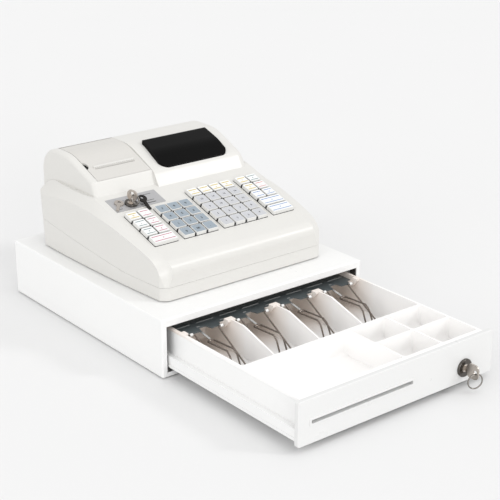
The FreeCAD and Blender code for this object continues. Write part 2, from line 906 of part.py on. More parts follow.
def ring_hole(y, length):
    """Place along Y of the hole of a key that stands in a lock with its face at y."""
    return y - bezel_proud + 0.8 - length + 1.0


ring_seat = key_bow_hole - ring_wire - 0.15


def drawer_key_ring():
    """Ring that hangs in the drawer key."""
    y = ring_hole(panel_front, drawer_bow_length)
    z = lock_z - ring_seat - ring_radius
    turn = math.radians(ring_twist)
    return Part.makeTorus(ring_radius, ring_wire, Vector(lock_offset_x, y, z),
                          Vector(-math.sin(turn), math.cos(turn), 0))


def line(a, b):
    """Straight edge."""
    return Part.LineSegment(Vector(*a), Vector(*b)).toShape()


def arc(a, b, c):
    """Circular edge through three points."""
    return Part.Arc(Vector(*a), Vector(*b), Vector(*c)).toShape()


def plan_half(y):
    """Half width of the register at a place along Y, without its corners."""
    wide = register_front + 0.69 * register_length
    if y >= wide:
        return register_half_width
    share = (wide - y) / (wide - register_front)
    return register_half_width - (register_half_width - front_half_width + 0.9) * share ** 2


def back_wall_y(z):
    """Leaning back face of the register at a height."""
    share = (z - register_bottom) / register_lean_height
    return register_back - register_back_lean * (1 - share)


def plan_wire(inset, z):
    """Outline of the register seen from above, at a height."""
    front = register_front + inset
    back = back_wall_y(z) - inset
    corner_x = corner_half_width - inset * 0.5
    corner_y = register_front + corner_depth
    side_x = plan_half(corner_y) - inset
    middle_y = (register_front + register_back) / 2 - 40.0
    middle_x = plan_half(middle_y) - inset
    rear_x = register_half_width - inset
    rear_round = rear_corner + (z - register_bottom) * rear_corner_growth
    rear_y = back - rear_round
    bend_x = (corner_x + side_x) / 2 + corner_bulge * 0.8
    bend_y = (front + corner_y) / 2 - corner_bulge * 0.55
    diagonal = rear_round * (1 - math.sqrt(0.5))
    right = [arc((corner_x, front, z), (bend_x, bend_y, z), (side_x, corner_y, z)),
             arc((side_x, corner_y, z), (middle_x, middle_y, z), (rear_x, rear_y, z)),
             arc((rear_x, rear_y, z), (rear_x - diagonal, back - diagonal, z),
                 (rear_x - rear_round, back, z))]
    left = [arc((-rear_x + rear_round, back, z), (-rear_x + diagonal, back - diagonal, z),
                (-rear_x, rear_y, z)),
            arc((-rear_x, rear_y, z), (-middle_x, middle_y, z), (-side_x, corner_y, z)),
            arc((-side_x, corner_y, z), (-bend_x, bend_y, z), (-corner_x, front, z))]
    rear = [line((rear_x - rear_round, back, z), (-rear_x + rear_round, back, z))]
    front_edge = [line((-corner_x, front, z), (corner_x, front, z))]
    return Part.Wire(right + rear + left + front_edge)


def plan_solid(inset, z0, z1):
    """Solid of the register's outline, with its leaning back."""
    return Part.makeLoft([plan_wire(inset, z0), plan_wire(inset, z1)], True, True)


def rounded_profile(points, radii, inset, x0, x1):
    """Solid along X whose Y and Z outline has rounded corners, moved inwards by the inset."""
    vectors = [Vector(x0, y, z) for y, z in points]
    edges = []
    count = len(vectors)
    ends = []
    for index in range(count):
        before = vectors[index - 1]
        corner = vectors[index]
        after = vectors[(index + 1) % count]
        radius = radii[index]
        if radius == 0:
            ends.append((corner, None, corner))
            continue
        incoming = (corner - before).normalize()
        outgoing = (after - corner).normalize()
        turn = incoming.getAngle(outgoing)
        cut = radius * math.tan(turn / 2)
        inward = (outgoing - incoming).normalize()
        middle = corner + inward * (radius / math.cos(turn / 2) - radius)
        ends.append((corner - incoming * cut, middle, corner + outgoing * cut))
    for index in range(count):
        start, middle, stop = ends[index]
        if middle is not None:
            edges.append(Part.Arc(start, middle, stop).toShape())
        following = ends[(index + 1) % count][0]
        if (following - stop).Length > 1e-6:
            edges.append(Part.LineSegment(stop, following).toShape())
    wire = Part.Wire(edges)
    if inset > 0:
        wire = wire.makeOffset2D(-inset)
    return Part.Face(wire).extrude(Vector(x1 - x0, 0, 0))


def deck_z(y):
    """Height of the sloping deck's plane."""
    return deck_front_z + (y - register_front) * deck_slope


deck_back_y = register_front + (plateau_z - deck_front_z) / deck_slope
underside = cabinet_height - 30.0
nose_turn = math.radians(90.0 - deck_tilt)
nose_cut = nose_radius * math.tan(nose_turn / 2)


def lower_solid(inset):
    """Deck, shoulders and sides of the register without the printer and display housing."""
    back_low = register_back - register_back_lean
    points = [(register_front, underside), (back_low, underside), (back_low, register_bottom),
              (back_wall_y(plateau_z), plateau_z), (deck_back_y, plateau_z),
              (register_front, deck_front_z)]
    radii = [0, 0, 0, plateau_fall_radius, nose_radius, nose_radius]
    half = register_half_width + 5.0
    profile = rounded_profile(points, radii, inset, -half, half)
    body = plan_solid(inset, register_bottom + inset, housing_top).common(profile)
    cutter = shoulder_cutter(inset)
    return body.cut(cutter).cut(mirror_x(cutter))


def surface_z(y):
    """Height of the deck, its rounded nose and the plateau along the middle of the register."""
    nose_end = register_front + nose_cut * math.cos(math.radians(deck_tilt))
    if y <= register_front:
        return deck_front_z - nose_cut
    if y < nose_end:
        depth = nose_radius - (y - register_front)
        centre_z = deck_front_z - nose_cut
        return centre_z + math.sqrt(max(nose_radius ** 2 - depth ** 2, 0.0))
    return min(deck_z(y), plateau_z)


shoulder_stations = (
    (-0.012, 15.0, 50.0), (0.015, 15.0, 25.0), (0.035, 15.0, 10.5), (0.07, 15.0, 4.4),
    (0.13, 14.6, 2.4), (0.22, 13.8, 2.8), (0.31, 13.0, 4.2), (0.45, 11.5, 9.4), (0.58, 10.4, 14.0),
    (0.80, 10.8, 16.0), (1.05, 11.2, 17.0))


def smooth_edge(points, places):
    """Smooth edge that passes its points at the given places of its parameter."""
    curve = Part.BSplineCurve()
    curve.interpolate(Points=points, Parameters=places)
    return curve.toShape()


def shoulder_cutter(inset):
    """Solid that takes the sloping shoulder off the right edge of the deck."""
    reach_out = 14.0
    reach_in = 4.0
    inner_points = []
    outer_points = []
    places = [0.0]
    for share, width, drop in shoulder_stations:
        y = register_front + share * register_length
        fall = max(0.0, (y - (register_back - plateau_fall_radius)) * 0.35)
        inner = Vector(plan_half(y) - width - inset, y, surface_z(y) - fall - inset)
        outer = Vector(plan_half(y) - inset, y, surface_z(y) - fall - drop - inset)
        slope = (outer - inner).multiply(1 / width)
        inner_points.append(inner - slope * reach_in)
        outer_points.append(outer + slope * reach_out)
        if len(inner_points) > 1:
            step = (inner_points[-1] - inner_points[-2]).Length
            step += (outer_points[-1] - outer_points[-2]).Length
            places.append(places[-1] + step)
    face = Part.makeRuledSurface(smooth_edge(inner_points, places), smooth_edge(outer_points, places))
    return face.extrude(Vector(0, 0, housing_top))


def hump_points(front, face_run, swell):
    """Corners of the housing's outline from its front foot over the top to its back."""
    fold_y = front + face_run
    fold_z = surface_z(hump_y) + hump_face_rise - (hump_y - front) * 0.3 + swell * 0.2
    rise = hump_top - fold_z
    crest_y = fold_y + rise / math.tan(math.radians(hump_slope)) - swell * 2.0
    return [(front, underside), (front - 1.0, surface_z(front) - 8.0), (fold_y, fold_z), (crest_y, hump_top),
            (register_back, hump_top), (register_back, register_bottom + register_lean_height),
            (register_back - register_back_lean, register_bottom),
            (register_back - register_back_lean, underside)]


def hump_solid(inset):
    """Raised housing of the printer and the display."""
    wide = hump_half_width - inset
    radii = [0, 0, fold_round, hump_crest_radius, hump_back_radius, 0, 0, 0]
    printer = rounded_profile(hump_points(hump_y, hump_face_run, 0.0), radii, inset, -wide,
                              display_left + hump_face_run)
    printer = printer.makeFillet(hump_edge - inset, side_edges(printer, -wide))
    radii = [0, 0, display_fold_round, hump_crest_radius, hump_back_radius, 0, 0, 0]
    shape = hump_points(hump_y - display_step, hump_face_run + 3.0, display_swell)
    display = rounded_profile(shape, radii, inset, display_left + inset, wide)
    display = display.makeFillet(display_edge - inset, side_edges(display, wide))
    return printer.fuse(display).removeSplitter()


def side_edges(solid, x):
    """Edges of the housing's outline on one end face, but for its foot."""
    chosen = []
    for edge in solid.Edges:
        box = edge.BoundBox
        on_end = abs(box.XMin - x) < 0.01 and abs(box.XMax - x) < 0.01
        if on_end and box.ZMax > plateau_z + hump_edge:
            chosen.append(edge)
    return chosen


def seam_solid(shift):
    """Everything below the seam between the register's base and cover."""
    flat_end = register_front + seam_flat_length
    back = register_back + 20.0
    rise = (back - flat_end) * seam_rise
    points = [(register_front - 20.0, underside), (back, underside), (back, seam_front + rise + shift),
              (flat_end, seam_front + shift), (register_front - 20.0, seam_front + shift)]
    half = register_half_width + 20.0
    return prism_x(points, -half, half)


socket_x = -60.0
socket_width = 74.0
socket_height = 20.0
socket_lift = 9.0


def socket_opening(grow):
    """Space of the socket plate in the back of the base."""
    z0 = register_bottom + socket_lift
    return block(socket_x - socket_width / 2 - grow, socket_x + socket_width / 2 + grow,
                 back_wall_y(z0) - 20.0, register_back + 5.0, z0 - grow, z0 + socket_height + grow)


board_lift = 7.0
board_sheet = 1.6
board_width = 210.0
board_length = 150.0
board_y = -40.0


def board_posts():
    """Posts on the floor of the base that carry the main board."""
    posts = []
    for side in (-1, 1):
        for end in (-1, 1):
            x = side * (board_width / 2 - 8.0)
            y = board_y + end * (board_length / 2 - 8.0)
            posts.append(rod_z(x, y, register_bottom + register_wall - 0.5,
                               register_bottom + register_wall + board_lift, 4.0))
    return posts


def register_base():
    """Lower tub of the register."""
    tub = lower_solid(0).cut(lower_solid(register_wall)).common(seam_solid(0))
    tub = join([tub] + board_posts())
    return tub.cut(socket_opening(seat_gap))


def deck_place(shape):
    """Move a shape from the deck's own axes, with its origin at the front edge, onto the deck."""
    moved = shape.copy()
    moved.rotate(Vector(0, 0, 0), Vector(1, 0, 0), deck_tilt)
    moved.translate(Vector(0, register_front, deck_front_z))
    return moved


def key_blocks():
    """Left side, columns and rows of the four blocks of keys."""
    columns = (2, 3, 4, 2)
    rows = (4, 4, 5, 5)
    spare = keyboard_width - sum(columns) * key_pitch
    gap = spare / (len(columns) - 1)
    blocks = []
    left = -keyboard_width / 2
    for count, deep in zip(columns, rows):
        blocks.append((left, count, deep))
        left += count * key_pitch + gap
    return blocks


def key_apertures(bottom, top, grow):
    """Openings of the four blocks of keys through the deck."""
    solids = []
    edge = (key_pitch - key_base) / 2 - aperture_margin - grow
    for left, columns, rows in key_blocks():
        solids.append(block(left + edge, left + columns * key_pitch - edge, keyboard_reach + edge,
                            keyboard_reach + rows * key_pitch - edge, bottom, top))
    return solids


def key_places():
    """Group name, middle and width in pitches of every key."""
    places = []
    left_block, digits, grid, right_block = key_blocks()

    def centre(block_data, column, row, span):
        x = block_data[0] + (column + span / 2) * key_pitch
        return (x, keyboard_reach + (row + 0.5) * key_pitch)

    places.append(("key_left_wide", centre(left_block, 0, 0, 2), 2))
    for row in range(1, left_block[2]):
        for column in range(left_block[1]):
            places.append(("keys_left_column_%d" % (column + 1), centre(left_block, column, row, 1), 1))
    number = 0
    for row in range(digits[2]):
        for column in range(digits[1]):
            number += 1
            places.append(("key_digit_%02d" % number, centre(digits, column, row, 1), 1))
    for row in range(grid[2]):
        for column in range(grid[1]):
            places.append(("keys_grid_column_%d" % (column + 1), centre(grid, column, row, 1), 1))
    for row in range(2):
        places.append(("key_right_wide_%d" % (row + 1), centre(right_block, 0, row, 2), 2))
    for row in range(2, right_block[2]):
        for column in range(right_block[1]):
            places.append(("keys_right_column_%d" % (column + 1),
                           centre(right_block, column, row, 1), 1))
    return places


def key_cap(span):
    """Tapered key with a dished top and its stem, at the deck's own origin."""
    extra = (span - 1) * key_pitch / 2
    low = key_base / 2
    high = key_top / 2
    wires = []
    for half, z in ((low, -key_sink), (high, key_height)):
        corners = [(-half - extra, -half), (half + extra, -half), (half + extra, half),
                   (-half - extra, half)]
        wires.append(Part.makePolygon([Vector(x, y, z) for x, y in corners + corners[:1]]))
    cap = Part.makeLoft(wires, True, True)
    cap = cap.makeFillet(key_round, [edge for edge in cap.Edges if edge.BoundBox.ZMax > 0])
    dish_radius = (high ** 2 + key_dish ** 2) / (2 * key_dish) * 1.2
    dish = rod_x(-high - extra - 5, high + extra + 5, 0, key_height + dish_radius - key_dish, dish_radius)
    cap = cap.cut(dish)
    stem_bottom = -bed_drop - bed_sheet - 2.5
    stem = block(-key_stem / 2, key_stem / 2, -key_stem / 2, key_stem / 2, stem_bottom, 0)
    return join([cap, stem])


def key_groups():
    """Keys on the deck, gathered by node name."""
    caps = {1: key_cap(1), 2: key_cap(2)}
    groups = {}
    for name, (x, y), span in key_places():
        cap = caps[span].copy()
        cap.translate(Vector(x, y, 0))
        groups.setdefault(name, []).append(deck_place(cap))
    return groups


bed_margin = 3.0
bed_rib = 2.0


def key_web():
    """Thin ribs between the keys of each block, left out under the wide keys."""
    half = web_thick / 2
    edge = (key_pitch - key_base) / 2
    ribs = []
    for index, (left, columns, rows) in enumerate(key_blocks()):
        wide_rows = (1, 0, 0, 2)[index]
        right = left + columns * key_pitch
        back = keyboard_reach + rows * key_pitch
        front = keyboard_reach + wide_rows * key_pitch + (0 if wide_rows else edge)
        for column in range(1, columns):
            x = left + column * key_pitch
            ribs.append(block(x - half, x + half, front, back - edge, -bed_drop - bed_sheet / 2, web_top))
        for row in range(1, rows):
            y = keyboard_reach + row * key_pitch
            ribs.append(block(left + edge, right - edge, y - half, y + half, -bed_drop - bed_sheet / 2,
                              web_top))
    return ribs


def key_bed():
    """Plate under the keys with thin ribs between them, ribs up to the deck and a hole for every stem."""
    x0 = -keyboard_width / 2 - bed_margin
    y0 = keyboard_reach - bed_margin
    blocks = key_blocks()
    step_x = blocks[2][0] - bed_margin
    low_y = keyboard_reach + blocks[0][2] * key_pitch + bed_margin
    y1 = keyboard_reach + blocks[2][2] * key_pitch + bed_margin
    bottom = -bed_drop - bed_sheet
    plate = [block(x0, -x0, y0, low_y, bottom, -bed_drop),
             block(step_x, -x0, low_y - 1, y1, bottom, -bed_drop)]
    ribs = [block(x0 * 0.9, -x0 * 0.9, y0, y0 + bed_rib, bottom, -register_wall),
            block(x0 * 0.9, step_x, low_y - bed_rib, low_y, bottom, -register_wall),
            block(step_x, -x0 * 0.9, y1 - bed_rib, y1, bottom, -register_wall)]
    bed = join(plate + ribs + key_web())
    holes = []
    half = key_stem / 2 + stem_gap
    for _, (x, y), _ in key_places():
        holes.append(block(x - half, x + half, y - half, y + half, bottom - 1, 0))
    return deck_place(bed.cut(holes))


lid_right = display_left
lid_front_y = hump_y + hump_face_run
lid_back_y = register_back - lid_back_margin
lid_axis_z = hump_top - lid_barrel_radius - lid_hinge_rise
hinge_room = (lid_barrel_radius + lid_hinge_rise) / math.cos(math.radians(lid_swing / 2)) + lid_gap
paper_centre_x = (lid_left + lid_right) / 2
notch_y = lid_front_y + notch_reach


def lid_region(gap, low):
    """Space of the lid in the top of the printer housing."""
    upper = block(lid_left - gap, lid_right, lid_front_y - gap + 1.0, lid_back_y, low, housing_top)
    radius = hinge_room if gap > 0 else lid_barrel_radius
    return upper.fuse(rod_x(lid_left - gap, lid_right, lid_back_y, lid_axis_z, radius))


def fold_plane_z():
    """Height of the fold between the front face and the sloping top of the housing."""
    return surface_z(hump_y) + hump_face_rise


def lid_skin(thickness, gap):
    """Skin of the printer housing over the lid's outline, grown on each side by a gap."""
    wide = hump_half_width
    radii = [0, 0, fold_round, hump_crest_radius, hump_back_radius, 0, 0, 0]
    points = hump_points(hump_y, hump_face_run, 0.0)
    outer = rounded_profile(points, radii, 0, -wide, wide)
    inner = rounded_profile(points, radii, thickness, -wide, wide)
    window = block(lid_left + lid_gap - gap, lid_right - lid_gap + gap,
                   lid_front_y + 1.0 + lid_gap - gap, lid_back_y, fold_plane_z() - 8.0, housing_top)
    return outer.cut(inner).common(window)


def printer_lid():
    """Lid over the paper, hinged along its rear edge, with the paper slot."""
    x0 = lid_left + lid_gap
    x1 = lid_right - lid_gap
    barrel = rod_x(x0, x1, lid_back_y, lid_axis_z, lid_barrel_radius)
    pins = [rod_x(x0 - lid_pin_length, x0 + 1, lid_back_y, lid_axis_z, lid_pin_radius),
            rod_x(x1 - 1, x1 + lid_pin_length, lid_back_y, lid_axis_z, lid_pin_radius)]
    lid = join([lid_skin(lid_wall, 0.0), barrel] + pins)
    slot_y = lid_front_y + paper_slot_reach
    slot = block(paper_centre_x - paper_slot_length / 2, paper_centre_x + paper_slot_length / 2,
                 slot_y - paper_slot_width / 2, slot_y + paper_slot_width / 2,
                 fold_plane_z() - 8.0, housing_top)
    notch = rod_z(x0 - notch_offset, notch_y, fold_plane_z() - 8.0, housing_top, notch_radius)
    return lid.cut(slot).cut(notch)


def tear_bar():
    """Serrated steel strip behind the paper slot, seated on the lid."""
    slot_y = lid_front_y + paper_slot_reach
    slope = math.tan(math.radians(hump_slope))
    lid_z = fold_plane_z() + (slot_y - hump_y - hump_face_run) * slope
    half = paper_slot_length / 2 + 1.0
    bar = prism_x([(slot_y + 1.4, lid_z + 0.7), (slot_y + 1.4, lid_z + 2.4),
                   (slot_y + 4.6, lid_z + 3.4), (slot_y + 4.6, lid_z + 1.9)],
                  paper_centre_x - half, paper_centre_x + half)
    teeth = []
    count = 21
    pitch = 2 * half / count
    for index in range(count):
        x = paper_centre_x - half + (index + 0.5) * pitch
        teeth.append(prism_z([(x - pitch * 0.32, slot_y + 1.3), (x + pitch * 0.32, slot_y + 1.3),
                              (x, slot_y + 2.2)], lid_z - 1, lid_z + 4))
    return bar.cut(teeth)


bay_wall = 2.0
bay_floor_z = hump_top - bay_depth
bay_front_y = lid_front_y + 6.0
bay_back_y = lid_back_y + hinge_room + 0.6


def printer_bay():
    """Open box under the lid, part of the cover."""
    x0 = lid_left - lid_gap - bay_wall
    x1 = lid_right + bay_wall
    top = lid_axis_z - lid_barrel_radius - 1.0
    outer = block(x0, x1, bay_front_y - bay_wall, bay_back_y + bay_wall, bay_floor_z - bay_wall, top)
    inner = block(x0 + bay_wall, x1 - bay_wall, bay_front_y, bay_back_y, bay_floor_z, top + 1)
    cheeks = []
    for x in (x0, x1 - bay_wall):
        cheeks.append(block(x, x + bay_wall, lid_back_y - 6.0, bay_back_y, top - 1.0, hump_top - 1.0))
    return join([outer.cut(inner)] + cheeks)


rear_window_x = 49.0
rear_window_width = 72.0
rear_window_height = 20.0
rear_window_z = hump_top - 38.0


def window_opening():
    """Opening in the display housing under the window."""
    inset = window_bevel + window_wall
    y0 = hump_y - display_step + window_reach + inset
    return block(window_left + inset, window_right - inset, y0, y0 + window_length - 2 * inset,
                 plateau_z + 5.0, housing_top)


def register_cover():
    """Upper housing with the sloping deck, the printer bay and the display housing."""
    outer = lower_solid(0).fuse(hump_solid(0)).removeSplitter()
    inner = lower_solid(register_wall).fuse(hump_solid(register_wall))
    cover = outer.cut(inner).cut(seam_solid(seam_gap))
    cover = cover.cut(lid_region(lid_gap, bay_floor_z))
    bay = printer_bay().common(outer)
    cover = join([cover, bay]).cut(lid_skin(lid_wall + lid_gap, lid_gap))
    cover = cover.cut(pin_holes())
    cover = cover.cut(window_opening())
    deck_cuts = key_apertures(-8.0, 8.0, 0.0)
    deck_cuts.append(plate_recess())
    deck_cuts.append(rod_z(mode_lock_x, mode_lock_reach, -20.0, 20.0,
                           mode_body_radius + lock_hole_gap))
    cover = cover.cut([deck_place(shape) for shape in deck_cuts])
    return cover.cut(rear_window_solid(seat_gap))


def pin_holes():
    """Bearing holes of the lid's pins."""
    reach = lid_pin_length + 1.5
    left = rod_x(lid_left - reach, lid_left + 1, lid_back_y, lid_axis_z, lid_pin_radius + running_fit)
    right = rod_x(lid_right - 1, lid_right + reach, lid_back_y, lid_axis_z, lid_pin_radius + running_fit)
    return [left, right]


def rear_window_solid(grow):
    """Window of the customer display in the back of the housing."""
    half = rear_window_width / 2 + grow
    rise = rear_window_height / 2 + grow
    return round_block(rear_window_x - half, rear_window_x + half, register_back - register_wall - grow,
                       register_back + 0.6, rear_window_z - rise, rear_window_z + rise, 3.0,
                       Vector(0, 1, 0))


def plate_recess():
    """Shallow seat of the silver plate in the deck."""
    return block(plate_left - seat_gap, plate_left + plate_width + seat_gap, plate_reach - seat_gap,
                 plate_reach + plate_length + seat_gap, -plate_sheet, 8.0)


def label_plate():
    """Bare silver plate round the mode lock."""
    plate = round_block(plate_left, plate_left + plate_width, plate_reach,
                        plate_reach + plate_length, -plate_sheet, 0.15, 1.5)
    return deck_place(plate.cut(rod_z(mode_lock_x, mode_lock_reach, -2, 2,
                                      mode_body_radius + lock_hole_gap)))


def upright(shape):
    """Turn a lock modelled along +Y so that it points down into the deck, and place it."""
    turned = shape.copy()
    turned.rotate(Vector(0, 0, 0), Vector(1, 0, 0), -90.0)
    turned.translate(Vector(mode_lock_x, mode_lock_reach, 0.15))
    return deck_place(turned)


mode_lock_depth = 18.0
mode_key_turn = -25.0


def mode_lock():
    """Lock case in the deck."""
    return upright(lock_body(0, 0, 0, mode_lock_depth, mode_bezel_radius, mode_body_radius))


def mode_key():
    """Plug and key of the mode lock."""
    plug = lock_plug(0, 0, 0, mode_lock_depth, mode_bow_width, mode_bow_length)
    plug.rotate(Vector(0, 0, 0), Vector(0, 1, 0), mode_key_turn)
    return upright(plug)


def mode_key_ring():
    """Ring that hangs in the mode key towards the front."""
    y = ring_hole(0, mode_bow_length)
    hang = math.radians(mode_ring_hang)
    down = Vector(0, math.cos(hang), -math.sin(hang))
    centre = Vector(0, y, 0) + down * (ring_seat + mode_ring_radius)
    ring = Part.makeTorus(mode_ring_radius, ring_wire, centre, Vector(1, 0, 0).cross(down))
    ring.rotate(Vector(0, 0, 0), Vector(0, 1, 0), mode_key_turn)
    return upright(ring)


def flat_key(length):
    """Small key lying flat with its round head at the origin and its blade towards -Y."""
    head = rod_z(0, 0, 0, spare_key_thick, spare_bow_radius)
    half = spare_blade_width / 2
    blade = block(-half, half, -length, 0, 0, spare_key_thick)
    notches = []
    for share in (0.55, 0.7, 0.85):
        notches.append(rod_z(half + 0.4, -length * share, -1, spare_key_thick + 1, 1.0))
    key = join([head, blade])
    return key.cut(notches + [rod_z(0, 1.5, -1, spare_key_thick + 1, spare_hole_radius)])


def spare_keys():
    """Two more keys of the set, lying on the plate beside the mode lock."""
    top = 0.15 + seat_gap / 4
    left = flat_key(19.0)
    left.rotate(Vector(0, 0, 0), Vector(0, 0, 1), -38.0)
    left.translate(Vector(mode_lock_x - 15.6, mode_lock_reach + 5.8, top))
    right = flat_key(21.0)
    right.rotate(Vector(0, 0, 0), Vector(1, 0, 0), 11.7)
    right.translate(Vector(mode_lock_x + 16.4, mode_lock_reach - 1.5, 4.75))
    return Part.makeCompound([deck_place(left), deck_place(right)])


def window_profile(grow):
    """Outline of the display window's raised lens."""
    y0 = hump_y - display_step + window_reach
    slope = math.tan(math.radians(hump_slope))
    fold_y = hump_y - display_step + hump_face_run + 3.0
    fold_z = fold_plane_z() - display_step * 0.3 + display_swell * 0.2

    def top(y):
        return fold_z + (y - fold_y) * slope * 1.02

    y1 = y0 + window_length
    middle = y0 + window_length * 0.42
    return [(y0 - grow, top(y0) - 5.0), (y1 + grow, top(y1) - 6.0), (y1 + grow, top(y1) + 2.5),
            (y1 - 4.0, top(y1) + window_thickness - 0.5), (middle, top(middle) + window_thickness + 2.0),
            (y0 + 7.0, top(y0) + window_thickness), (y0 - grow, top(y0) + 1.2)]


def display_window():
    """Dark curved lens over the display."""
    points = window_profile(0.0)
    radii = [0, 0, 1.5, 4.0, 60.0, 6.0, 1.2]
    lens = rounded_profile(points, radii, 0, window_left, window_right)
    low = min(z for _, z in points)
    high = max(z for _, z in points)
    for side, x in ((1, window_left), (-1, window_right)):
        wedge = Part.makePolygon([Vector(x - side, 0, low + 8.0), Vector(x, 0, low + 8.0),
                                  Vector(x + side * window_bevel, 0, high + 2.0),
                                  Vector(x - side, 0, high + 2.0), Vector(x - side, 0, low + 8.0)])
        cutter = Part.Face(wedge).extrude(Vector(0, 400, 0))
        cutter.translate(Vector(0, -150, 0))
        lens = lens.cut(cutter)
    outline = round_block(window_left, window_right, points[0][0], points[1][0], low, high + 10.0,
                          window_corner)
    lens = lens.common(outline).cut(hump_solid(0))
    return max(lens.Solids, key=lambda solid: solid.Volume)


def display_module():
    """Display panel seated against the underside of the housing, round the window opening."""
    inset = window_bevel + window_wall - display_panel_lap
    y0 = hump_y - display_step + window_reach + inset
    y1 = y0 + window_length - 2 * inset
    slope = math.tan(math.radians(hump_slope))
    z0 = fold_plane_z() + (y0 - hump_y - hump_face_run) * slope - register_wall
    z1 = z0 + (y1 - y0) * slope
    panel = prism_x([(y0, z0 - display_panel_thick), (y1, z1 - display_panel_thick), (y1, z1 + 20.0),
                     (y0, z0 + 20.0)],
                    window_left + inset, window_right - inset)
    panel = panel.common(hump_solid(register_wall))
    return max(panel.Solids, key=lambda solid: solid.Volume)


def main_board():
    """Circuit board of the register on its posts."""
    z = register_bottom + register_wall + board_lift
    board = block(-board_width / 2, board_width / 2, board_y - board_length / 2,
                  board_y + board_length / 2, z, z + board_sheet)
    parts = ((-0.3, 0.1, 22.0, 3.0), (0.05, -0.2, 16.0, 2.5), (0.3, 0.2, 26.0, 12.0))
    chips = []
    for share_x, share_y, size, tall in parts:
        x = share_x * board_width
        y = board_y + share_y * board_length
        chips.append(block(x - size / 2, x + size / 2, y - size / 2, y + size / 2,
                           z + board_sheet / 2, z + board_sheet + tall))
    return join([board] + chips)


def rear_sockets():
    """Plate with the supply inlet and the data sockets in the back of the base."""
    z0 = register_bottom + socket_lift
    z1 = z0 + socket_height
    half = socket_width / 2
    front = back_wall_y(z0) - 14.0
    outline = [(front, z0), (back_wall_y(z0), z0), (back_wall_y(z1), z1), (front, z1)]
    plate = prism_x(outline, socket_x - half, socket_x + half)
    deep = back_wall_y(z0) - 9.0
    z = (z0 + z1) / 2
    cuts = [rod_y(socket_x - half + 14.0, deep, register_back + 5, z, 4.5)]
    for index in range(3):
        x = socket_x - half + 32.0 + index * 15.0
        cuts.append(block(x - 5.5, x + 5.5, deep, register_back + 5, z - 4.5, z + 4.5))
    plate = plate.cut(cuts)
    pin = rod_y(socket_x - half + 14.0, deep - 1, back_wall_y(z) - 2.0, z, 1.0)
    return join([plate, pin])


roll_y = bay_back_y - paper_roll_radius - 6.0
roll_z = bay_floor_z + paper_roll_radius + 2.0
platen_y = lid_front_y + 21.0
platen_z = bay_floor_z + 26.0


def paper_roll():
    """Receipt roll with its core."""
    half = paper_width / 2
    roll = rod_x(paper_centre_x - half, paper_centre_x + half, roll_y, roll_z, paper_roll_radius)
    return roll.cut(rod_x(paper_centre_x - half - 1, paper_centre_x + half + 1, roll_y, roll_z,
                          paper_core_radius))


def platen_roller():
    """Rubber roller that feeds the paper, with its shaft and gear."""
    half = paper_width / 2 + 1.0
    body = rod_x(paper_centre_x - half, paper_centre_x + half, platen_y, platen_z, platen_radius)
    shaft = rod_x(paper_centre_x - half - 6.0, paper_centre_x + half + 7.0, platen_y, platen_z, 2.0)
    gear = rod_x(paper_centre_x + half + 3.6, paper_centre_x + half + 6.6, platen_y, platen_z, 5.0)
    return join([body, shaft, gear])


def feed_wheel(side):
    """Dark thumb wheel under the lid's notch, with its axle and bracket on the printer frame."""
    slope = math.radians(hump_slope)
    depth = lid_wall + wheel_drop + wheel_radius
    surface = fold_plane_z() + (notch_y - lid_front_y) * math.tan(slope)
    y = notch_y + math.sin(slope) * depth
    z = surface - math.cos(slope) * depth
    x0 = lid_left + wheel_drop
    wheel = rod_x(x0, x0 + wheel_width, y, z, wheel_radius)
    axle = rod_x(x0 + wheel_width - 0.5, side + 0.5, y, z, 2.0)
    bracket = block(side, side + 1.2, y - 12.0, y + 4.0, bay_floor_z, z + 4.0)
    return [wheel, axle, bracket]


def printer_mechanism():
    """Printer frame with the roll's spindle, side plates, print head and feed wheel."""
    half = paper_width / 2 + 3.2
    x0 = paper_centre_x - half
    x1 = paper_centre_x + half
    low = bay_floor_z
    plates = []
    for x in (x0 - 1.2, x1):
        plates.append(block(x, x + 1.2, platen_y - 11.0, platen_y + 12.0, low, platen_z + 6.0))
        plates.append(block(x, x + 1.2, roll_y - 6.0, roll_y + 6.0, low, roll_z + 5.0))
        plates.append(block(x, x + 1.2, platen_y - 11.0, roll_y + 6.0, low, low + 2.5))
    floor = block(x0 - 1.2, x1 + 1.2, platen_y - 11.0, platen_y + 12.0, low, low + 1.5)
    head = block(x0 - 0.5, x1 + 0.5, platen_y - 11.0, platen_y - platen_radius - 0.5, low,
                 platen_z + 3.0)
    spindle = rod_x(x0 - 0.6, x1 + 0.6, roll_y, roll_z, paper_core_radius - 0.3)
    frame = join(plates + [floor, head, spindle] + feed_wheel(x0 - 1.2))
    return frame.cut(rod_x(x0 - 3, x1 + 3, platen_y, platen_z, 2.0 + running_fit))


